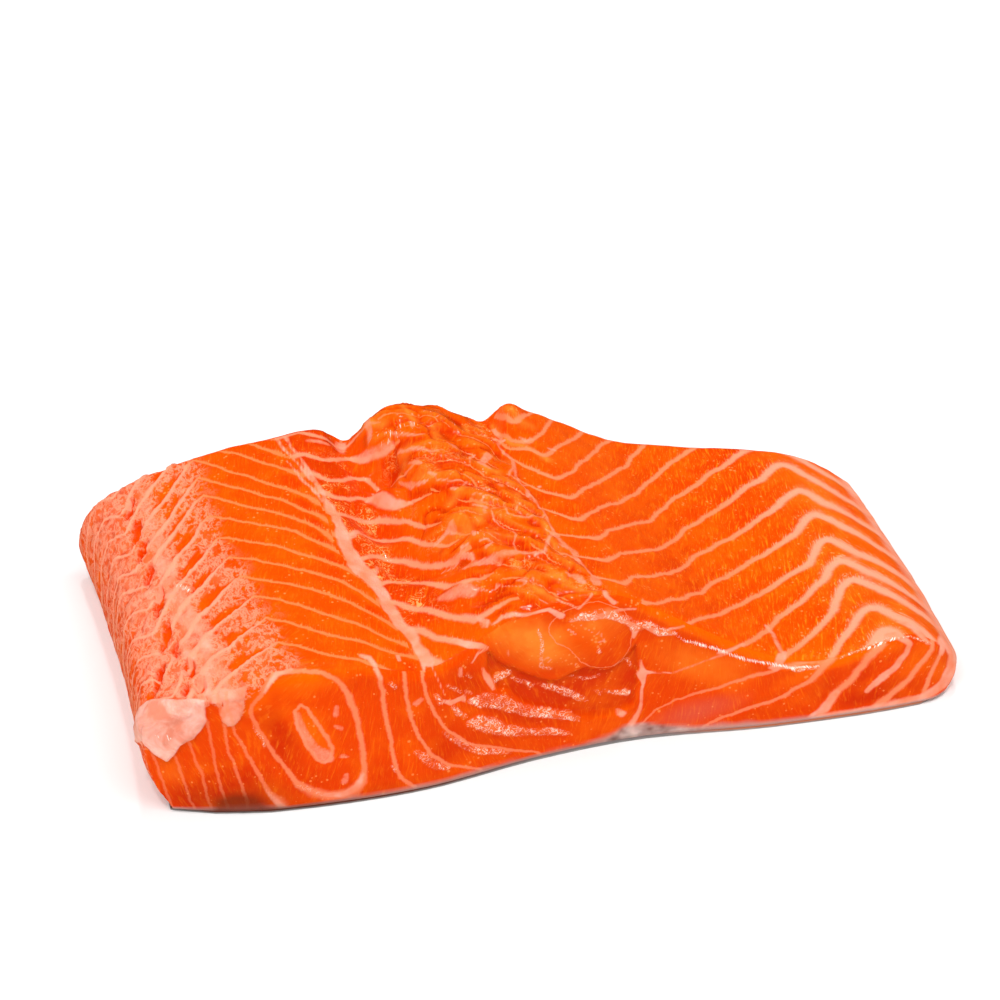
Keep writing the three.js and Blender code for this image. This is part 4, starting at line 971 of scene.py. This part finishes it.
stored = [add(tree, SPLIT, (add(tree, "ShaderNodeAttribute", out=1, attribute_name=name),)).node.outputs
          for name in ("septum", "fat_and_highlights", "tone", "folded", "rim", "shine", "show", "fibre")]
(line_at, line_wide, line_turn), (fat_and_highlights_at, cloth_at, speck_at), (deep_and_shade_at, bright_and_lit_at, grey_at) = stored[:3]
(trough_at, flap_at, tongue_at), (soft_and_sheen_at, foot_shade_at, wet_at), (pale_at, silver_at, film_at) = stored[3:6]
(strength_at, painted_glint_at, _), (across_at, along_at, streaks_at) = stored[6:]
place = add(tree, "ShaderNodeTexCoord", out=3)

# Noise in several sizes. A scale counts waves to the metre: 160 gives clouds of 6 mm, 320 groups of
# 3 mm, 520 waves of 2 mm, 900 ragged edges of 1 mm and 1900 drops of half a millimetre.
mottled, groups, wet_waves, ragged, drops = (
    add(tree, NOISE, {"Vector": place, "Scale": scale, "Detail": detail, "Roughness": rough})
    for scale, detail, rough in (
        (160.0, 3.0, 0.55), (320.0, 2.0, 0.5), (520.0, 1.0, 0.5), (900.0, 3.0, 0.7), (1900.0, 2.0, 0.6)))
# Streaks run along the fibres, about 0.5 mm apart and 4 mm long, with finer ones between.
streak_place = add(tree, "ShaderNodeCombineXYZ", (
    add(tree, MATH, (across_at, 1.9), **TIMES), add(tree, MATH, (along_at, 0.22), **TIMES)))
streaks, fine_streaks = (
    add(tree, NOISE, {"Vector": streak_place, "Scale": scale, "Detail": detail, "Roughness": 0.6})
    for scale, detail in ((1.0, 3.0), (2.3, 2.0)))

# A fat line is where the distance is within the half width. Its back edge has short ragged teeth that
# lie along the fibres, its front edge is softer.
shift = add(tree, MATH, (ragged, 0.7, -0.35), **TIMES_PLUS)
off_line = add(tree, MATH, (add(tree, MATH, (line_at, shift), **PLUS),), **SIZE)
is_behind = add(tree, MATH, (add(tree, MATH, (line_at, line_turn), **TIMES), 0.0), **LESS)
is_behind = add(tree, MATH, (is_behind, add(tree, MATH, (line_turn,), **SIZE)), **TIMES)
teeth = add(tree, MATH, (fine_streaks, 8.0, -4.3), **TIMES_PLUS, **CLAMP)
teeth = add(tree, MATH, (add(tree, MATH, (teeth, is_behind), **TIMES), 1.1, 1.0), **TIMES_PLUS)
half_width = add(tree, MATH, (add(tree, MATH, (line_wide, teeth), **TIMES), 0.02), **MOST)
in_line = add(tree, RANGE, {"Value": add(tree, MATH, (off_line, half_width), **OVER), "From Min": 1.5,
                            "From Max": 0.4, "To Max": strength_at}, **SMOOTH)
in_line = add(tree, MATH, (in_line, add(tree, MATH, (line_wide, 0.04), **GREATER)), **TIMES)
line_colour = add(tree, MIX, {0: pale_at, 6: "#FF8248", 7: "#FFA484"}, **COLOUR)

# Grains of fat less than 0.3 mm across lie in the muscle, most of them in loose groups.
dot_size = add(tree, MATH, (groups, 1.1, -0.42), **TIMES_PLUS)
dots = add(tree, MATH, (dot_size, add(tree, CELLS, {"Vector": place, "Scale": 950.0})), **MINUS)
dots = add(tree, MATH, (add(tree, MATH, (dots, 8.0), **TIMES, **CLAMP), 0.6), **TIMES)

# Thin winding lines where a noise crosses its middle: painted golden glints 1.6 mm apart in the wet hollow,
# and painted highlights of water beads 1.1 mm apart in the torn bands.
winding = []
for scale in (620.0, 900.0):
    wave = add(tree, NOISE, {"Vector": place, "Scale": scale, "Detail": 1.0, "Distortion": 1.6})
    off_middle = add(tree, MATH, (add(tree, MATH, (wave, 0.5), **MINUS),), **SIZE)
    winding.append(add(tree, RANGE, {"Value": off_middle, "From Min": 0.05, "From Max": 0.01}, **SMOOTH))
curl = add(tree, MATH, (winding[0], wet_at), **TIMES)
# Painted golden glints of the wet film in the hollow.
painted_golden_glints = add(tree, MATH, (curl, add(tree, MATH, (mottled, 8.0, -3.5), **TIMES_PLUS, **CLAMP)), **TIMES)

# The muscle, in layers, each over the ones before: its share, and its colour.
streaky = [
    add(tree, MATH, (add(tree, MATH, (noise, gain, start), **TIMES_PLUS, **CLAMP), streaks_at), **TIMES)
    for noise, gain, start in ((streaks, 6.0, -3.3), (streaks, -4.5, 2.0), (fine_streaks, 4.0, -2.3))]
# Painted shade, with the muscle's own darker red, in the trough under the lobes.
trough_dark_and_shade = add(tree, RANGE, {"Value": trough_at, "From Min": -0.15, "From Max": 0.35, "To Max": 0.75},
                **SMOOTH)
soft_cloud = add(tree, MATH, (mottled, 2.6, -0.5), **TIMES_PLUS, **CLAMP)
muscle = add(tree, MIX, {0: bright_and_lit_at, 6: "#EC4600", 7: "#FC6200"}, **COLOUR)
for share, shade in (
        (deep_and_shade_at, "#D43000"), (trough_dark_and_shade, "#D62E00"),
        (add(tree, MATH, (mottled, 1.6, -0.72), **TIMES_PLUS, **CLAMP), "#FC6C04"), (streaky[0], "#FF8212"),
        (streaky[1], "#DC3C00"), (streaky[2], "#FF942C"), (dots, "#FF9850"), (painted_golden_glints, "#FFA860"),
        (add(tree, MATH, (soft_and_sheen_at, soft_cloud), **TIMES), "#FF8E30")):
    muscle = add(tree, MIX, {0: share, 6: muscle, 7: shade}, **COLOUR)

# The tissue has fine winding folds 0.3 to 2 mm apart, and strands of 5 mm where it is thick. It hides
# the muscle where it is thick, and tints it where it is thin.
stretched = add(tree, "ShaderNodeMapping", {"Vector": place, "Scale": (1.0, 0.6, 1.0)})
folds = add(tree, NOISE, {"Vector": stretched, "Scale": 480.0, "Detail": 4.0, "Roughness": 0.75,
                          "Distortion": 0.35})
fold_line = add(tree, MATH, (add(tree, MATH, (folds, 0.5), **MINUS),), **SIZE)
crest = add(tree, RANGE, {"Value": fold_line, "From Max": 0.11, "To Min": 1.0, "To Max": 0.0}, **SMOOTH)
strands = add(tree, NOISE, {"Vector": stretched, "Scale": 210.0, "Detail": 4.0, "Roughness": 0.65,
                            "Distortion": 0.6})
strand = add(tree, MATH, (strands, 3.4, -1.25), **TIMES_PLUS, **CLAMP)
in_tongue = add(tree, RANGE, {"Value": tongue_at, "From Min": -0.25, "From Max": 0.25}, **SMOOTH)
cover = add(tree, MATH, (cloth_at, in_tongue), **MOST)
bare = add(tree, MATH, (cover, -1.0, 1.0), **TIMES_PLUS)
fold_share = add(tree, MATH, (add(tree, MATH, (crest, 0.45), **MINUS), bare), **TIMES)
in_tissue = add(tree, MATH, (fold_share, cover), **PLUS, **CLAMP)
in_tissue = add(tree, MATH, (in_tissue, add(tree, MATH, (cover, 5.0), **TIMES, **CLAMP)), **TIMES)
# Painted highlight: the crests of the folds are lighter.
thin_tissue_and_highlight = add(tree, MIX, {0: crest, 6: "#F4794C", 7: "#FFA482"}, **COLOUR)
thick_colour = add(tree, MIX, {0: strand, 6: "#F9825A", 7: "#FFB096"}, **COLOUR)
thick = add(tree, RANGE, {"Value": cover, "From Min": 0.38, "From Max": 1.0})
tissue_colour = add(tree, MIX, {0: thick, 6: thin_tissue_and_highlight, 7: thick_colour}, **COLOUR)
# The tissue takes on the deeper red and the painted shade of the muscle under it.
tissue_deep_and_shade = add(tree, MATH, (deep_and_shade_at, 0.8), **TIMES)
tissue_colour = add(tree, MIX, {0: tissue_deep_and_shade, 6: tissue_colour, 7: "#DC5028"}, **COLOUR)

# Fat between the muscles, bands where torn fibres stand up with painted highlights of water beads between
# them, the folded flap, painted glints, and silver skin.
uneven = add(tree, MATH, (ragged, 0.9, -0.45), **TIMES_PLUS)
in_fat_and_highlights, in_band = (
    add(tree, RANGE, {"Value": add(tree, MATH, (depth, uneven), **PLUS), "From Min": low, "From Max": high,
                      "To Max": most}, **SMOOTH)
    for depth, low, high, most in ((fat_and_highlights_at, -0.7, 0.7, 0.95), (speck_at, -1.0, 0.8, 1.0)))
fat_cloud = add(tree, MATH, (groups, 2.4, -0.7), **TIMES_PLUS, **CLAMP)
fat_and_highlights_colour = add(tree, MIX, {0: fat_cloud, 6: "#FF8A60", 7: "#FFAA90"}, **COLOUR)
pale_band = add(tree, MATH, (add(tree, MATH, (groups, 2.0, -0.5), **TIMES_PLUS, **CLAMP), in_band), **TIMES)
wet_groups = add(tree, MATH, (groups, 4.0, -1.1), **TIMES_PLUS, **CLAMP)
# Painted highlights: white beads of water in the torn bands.
painted_bead_highlights = add(tree, MATH, (winding[1], add(tree, MATH, (in_band, wet_groups), **TIMES)), **TIMES)
in_flap = add(tree, RANGE, {"Value": flap_at, "From Min": -0.2, "From Max": 0.2}, **SMOOTH)
flap_colour = add(tree, MIX, {0: strand, 6: "#EE8C70", 7: "#FFC2B0"}, **COLOUR)
# Painted glints: white specks where the glint depth and the fine streaks together pass a threshold.
broken = add(tree, MATH, (painted_glint_at, add(tree, MATH, (fine_streaks, 9.0, -4.8), **TIMES_PLUS)), **PLUS)
in_painted_glint = add(tree, RANGE, {"Value": broken, "From Min": 0.2, "From Max": 1.0}, **SMOOTH)
silver_colour = add(tree, MIX, {0: fat_cloud, 6: "#6E5650", 7: "#EAD2CA"}, **COLOUR)

# All that lies over the muscle, in layers as before, painted highlights, glints and shade among them.
colour = muscle
for share, shade in (
        (in_tissue, tissue_colour), (in_line, line_colour), (in_fat_and_highlights, fat_and_highlights_colour), (pale_band, "#FF7C40"),
        (painted_bead_highlights, "#FFE4D2"), (in_flap, flap_colour), (in_painted_glint, "#FFEADC"),
        (add(tree, MATH, (grey_at, 0.85), **TIMES), "#B8A49C"),
        (add(tree, MATH, (silver_at, 0.8), **TIMES), silver_colour), (foot_shade_at, "#7A2C10")):
    colour = add(tree, MIX, {0: share, 6: colour, 7: shade}, **COLOUR)

# Relief too fine for the mesh: folds, streaks and drops, one on the other, and slow waves in the film.
fold_depth = add(tree, MATH, (
    add(tree, MATH, (crest, add(tree, MATH, (cover, 1.5), **TIMES, **CLAMP)), **TIMES), curl), **PLUS)
fine_relief = {}
for height_of, strength, depth in (
        (fold_depth, 0.4, 0.0002), (streaks, 0.3, 0.0002), (fine_streaks, 0.3, 0.0001),
        (drops, 0.3, 0.0001)):
    under = add(tree, BUMP, {"Strength": strength, "Distance": depth, "Height": height_of, **fine_relief})
    fine_relief = {"Normal": under}
film_waves = add(tree, BUMP, {"Strength": 0.7, "Distance": 0.0005, "Height": wet_waves})
film = add(tree, MATH, (add(tree, MATH, (film_at, in_band), **MOST), 0.8, 0.02), **TIMES_PLUS, **CLAMP)
surface = add(tree, "ShaderNodeBsdfPrincipled", {
    "Base Color": colour, "Roughness": 0.42, "IOR": 1.38, "Specular IOR Level": 0.04,
    "Subsurface Weight": 0.1, "Subsurface Radius": (1.0, 0.15, 0.05), "Subsurface Scale": 0.0012,
    "Coat Weight": film, "Coat Roughness": 0.12, "Coat IOR": 1.33, "Coat Normal": film_waves,
    **fine_relief})
add(tree, "ShaderNodeOutputMaterial", {"Surface": surface})
flesh_mesh.materials.append(raw)
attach(flesh, "root")
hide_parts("flesh")

# The skin. One thin grey sheet under the flesh, still on the fillet, with scales on its lower face.
# Its cut edge is brown at the left, grey in the middle and stained by the flesh at the right.
skin_material = bpy.data.materials.new("salmon_skin_wet")
skin_material.use_nodes = True
tree = skin_material.node_tree
tree.nodes.clear()
place = add(tree, "ShaderNodeTexCoord", out=3)
place_x, _, place_z = add(tree, SPLIT, (place,)).node.outputs
# Scales 3 mm wide, in clouds of lighter and darker grey of 17 mm.
scales = add(tree, CELLS, {"Vector": place, "Scale": 330.0, "Randomness": 0.35})
skin_cloud = add(tree, NOISE, {"Vector": place, "Scale": 60.0, "Detail": 3.0})
skin_colour = add(tree, MIX, {0: skin_cloud, 6: "#8E8C8A", 7: "#5E5A58"}, **COLOUR)
scale_rim = add(tree, MATH, (scales, 0.9), **TIMES, **CLAMP)
skin_colour = add(tree, MIX, {0: scale_rim, 6: "#A8A4A0", 7: skin_colour}, **COLOUR)
from_left = add(tree, RANGE, {"Value": place_x, "From Min": -0.03, "From Max": 0.005}, **SMOOTH)
to_right = add(tree, RANGE, {"Value": place_x, "From Min": 0.018, "From Max": 0.036}, **SMOOTH)
edge_colour = add(tree, MIX, {0: from_left, 6: "#6A2C14", 7: "#8E8482"}, **COLOUR)
edge_colour = add(tree, MIX, {0: to_right, 6: edge_colour, 7: "#D2784E"}, **COLOUR)
above = add(tree, RANGE, {"Value": place_z, "From Min": 0.0001, "From Max": 0.0005})
skin_colour = add(tree, MIX, {0: above, 6: skin_colour, 7: edge_colour}, **COLOUR)
scale_relief = add(tree, BUMP, {"Strength": 0.5, "Distance": 0.0003, "Height": scales})
surface = add(tree, "ShaderNodeBsdfPrincipled", {
    "Base Color": skin_colour, "Normal": scale_relief, "Roughness": 0.32, "IOR": 1.4, "Coat Weight": 0.3,
    "Coat Roughness": 0.15})
add(tree, "ShaderNodeOutputMaterial", {"Surface": surface})
for skin_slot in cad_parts["skin"].material_slots:
    skin_slot.material = skin_material

# The floor: a plain pale surface, not part of the portion. The wet film doesn't mirror it.
FLOOR_CORNERS = [(-3, -3, 0), (3, -3, 0), (3, 3, 0), (-3, 3, 0)]
floor_mesh = bpy.data.meshes.new("floor")
floor_mesh.from_pydata(FLOOR_CORNERS, [], [(0, 1, 2, 3)])
floor = bpy.data.objects.new("floor", floor_mesh)
bpy.context.scene.collection.objects.link(floor)
paper = bpy.data.materials.new("white_paper")
paper.use_nodes = True
paper_inputs = paper.node_tree.nodes["Principled BSDF"].inputs
paper_inputs["Base Color"].default_value = linear("#F4F4F4")
paper_inputs["Roughness"].default_value = 0.9
floor_mesh.materials.append(paper)
floor.visible_glossy = False

# Studio light: two wide soft lamps from the left and the right, two small ones from the front and
# behind, which alone make sharp lights on the wet film, and a pale room.
world = bpy.data.worlds.new("studio")
world.use_nodes = True
room = world.node_tree.nodes["Background"].inputs
room["Color"].default_value = linear("#FFFFFF")
room["Strength"].default_value = 0.2
bpy.context.scene.world = world
world.cycles_visibility.glossy = False
SMALL = 10
for name, strength, spread, tilt, around in (
        ("left_light", 1.65, 50, 38, -60), ("right_light", 1.5, 50, 30, 50),
        ("small_light", 0.6, 5, 24, -20), ("back_light", 0.5, 5, 20, 170)):
    lamp = bpy.data.lights.new(name, "SUN")
    lamp.energy = strength
    lamp.angle = math.radians(spread)
    lamp_body = bpy.data.objects.new(name, lamp)
    lamp_body.rotation_euler = (math.radians(tilt), 0, math.radians(around))
    lamp_body.visible_glossy = spread < SMALL
    bpy.context.scene.collection.objects.link(lamp_body)

# The camera looks down on the front cut from the left, as a long lens does. Metres and degrees.
CAMERA_TARGET = (0.00465, 0.0323, 0.010)
CAMERA_AZIMUTH, CAMERA_HEIGHT, CAMERA_DISTANCE = -13.0, 35.0, 0.6354
camera_data = bpy.data.cameras.new("camera")
camera_data.sensor_width = 36.0
camera_data.lens = 115.2
camera_data.clip_start = 0.01
camera = bpy.data.objects.new("camera", camera_data)
bpy.context.scene.collection.objects.link(camera)
turn, lift = math.radians(CAMERA_AZIMUTH), math.radians(CAMERA_HEIGHT)
way_back = (math.sin(turn) * math.cos(lift), -math.cos(turn) * math.cos(lift), math.sin(lift))
camera.location = [at + CAMERA_DISTANCE * way for at, way in zip(CAMERA_TARGET, way_back)]
camera.rotation_euler = (math.pi / 2 - lift, 0, turn)
bpy.context.scene.camera = camera
bpy.context.scene.view_settings.view_transform = "Standard"
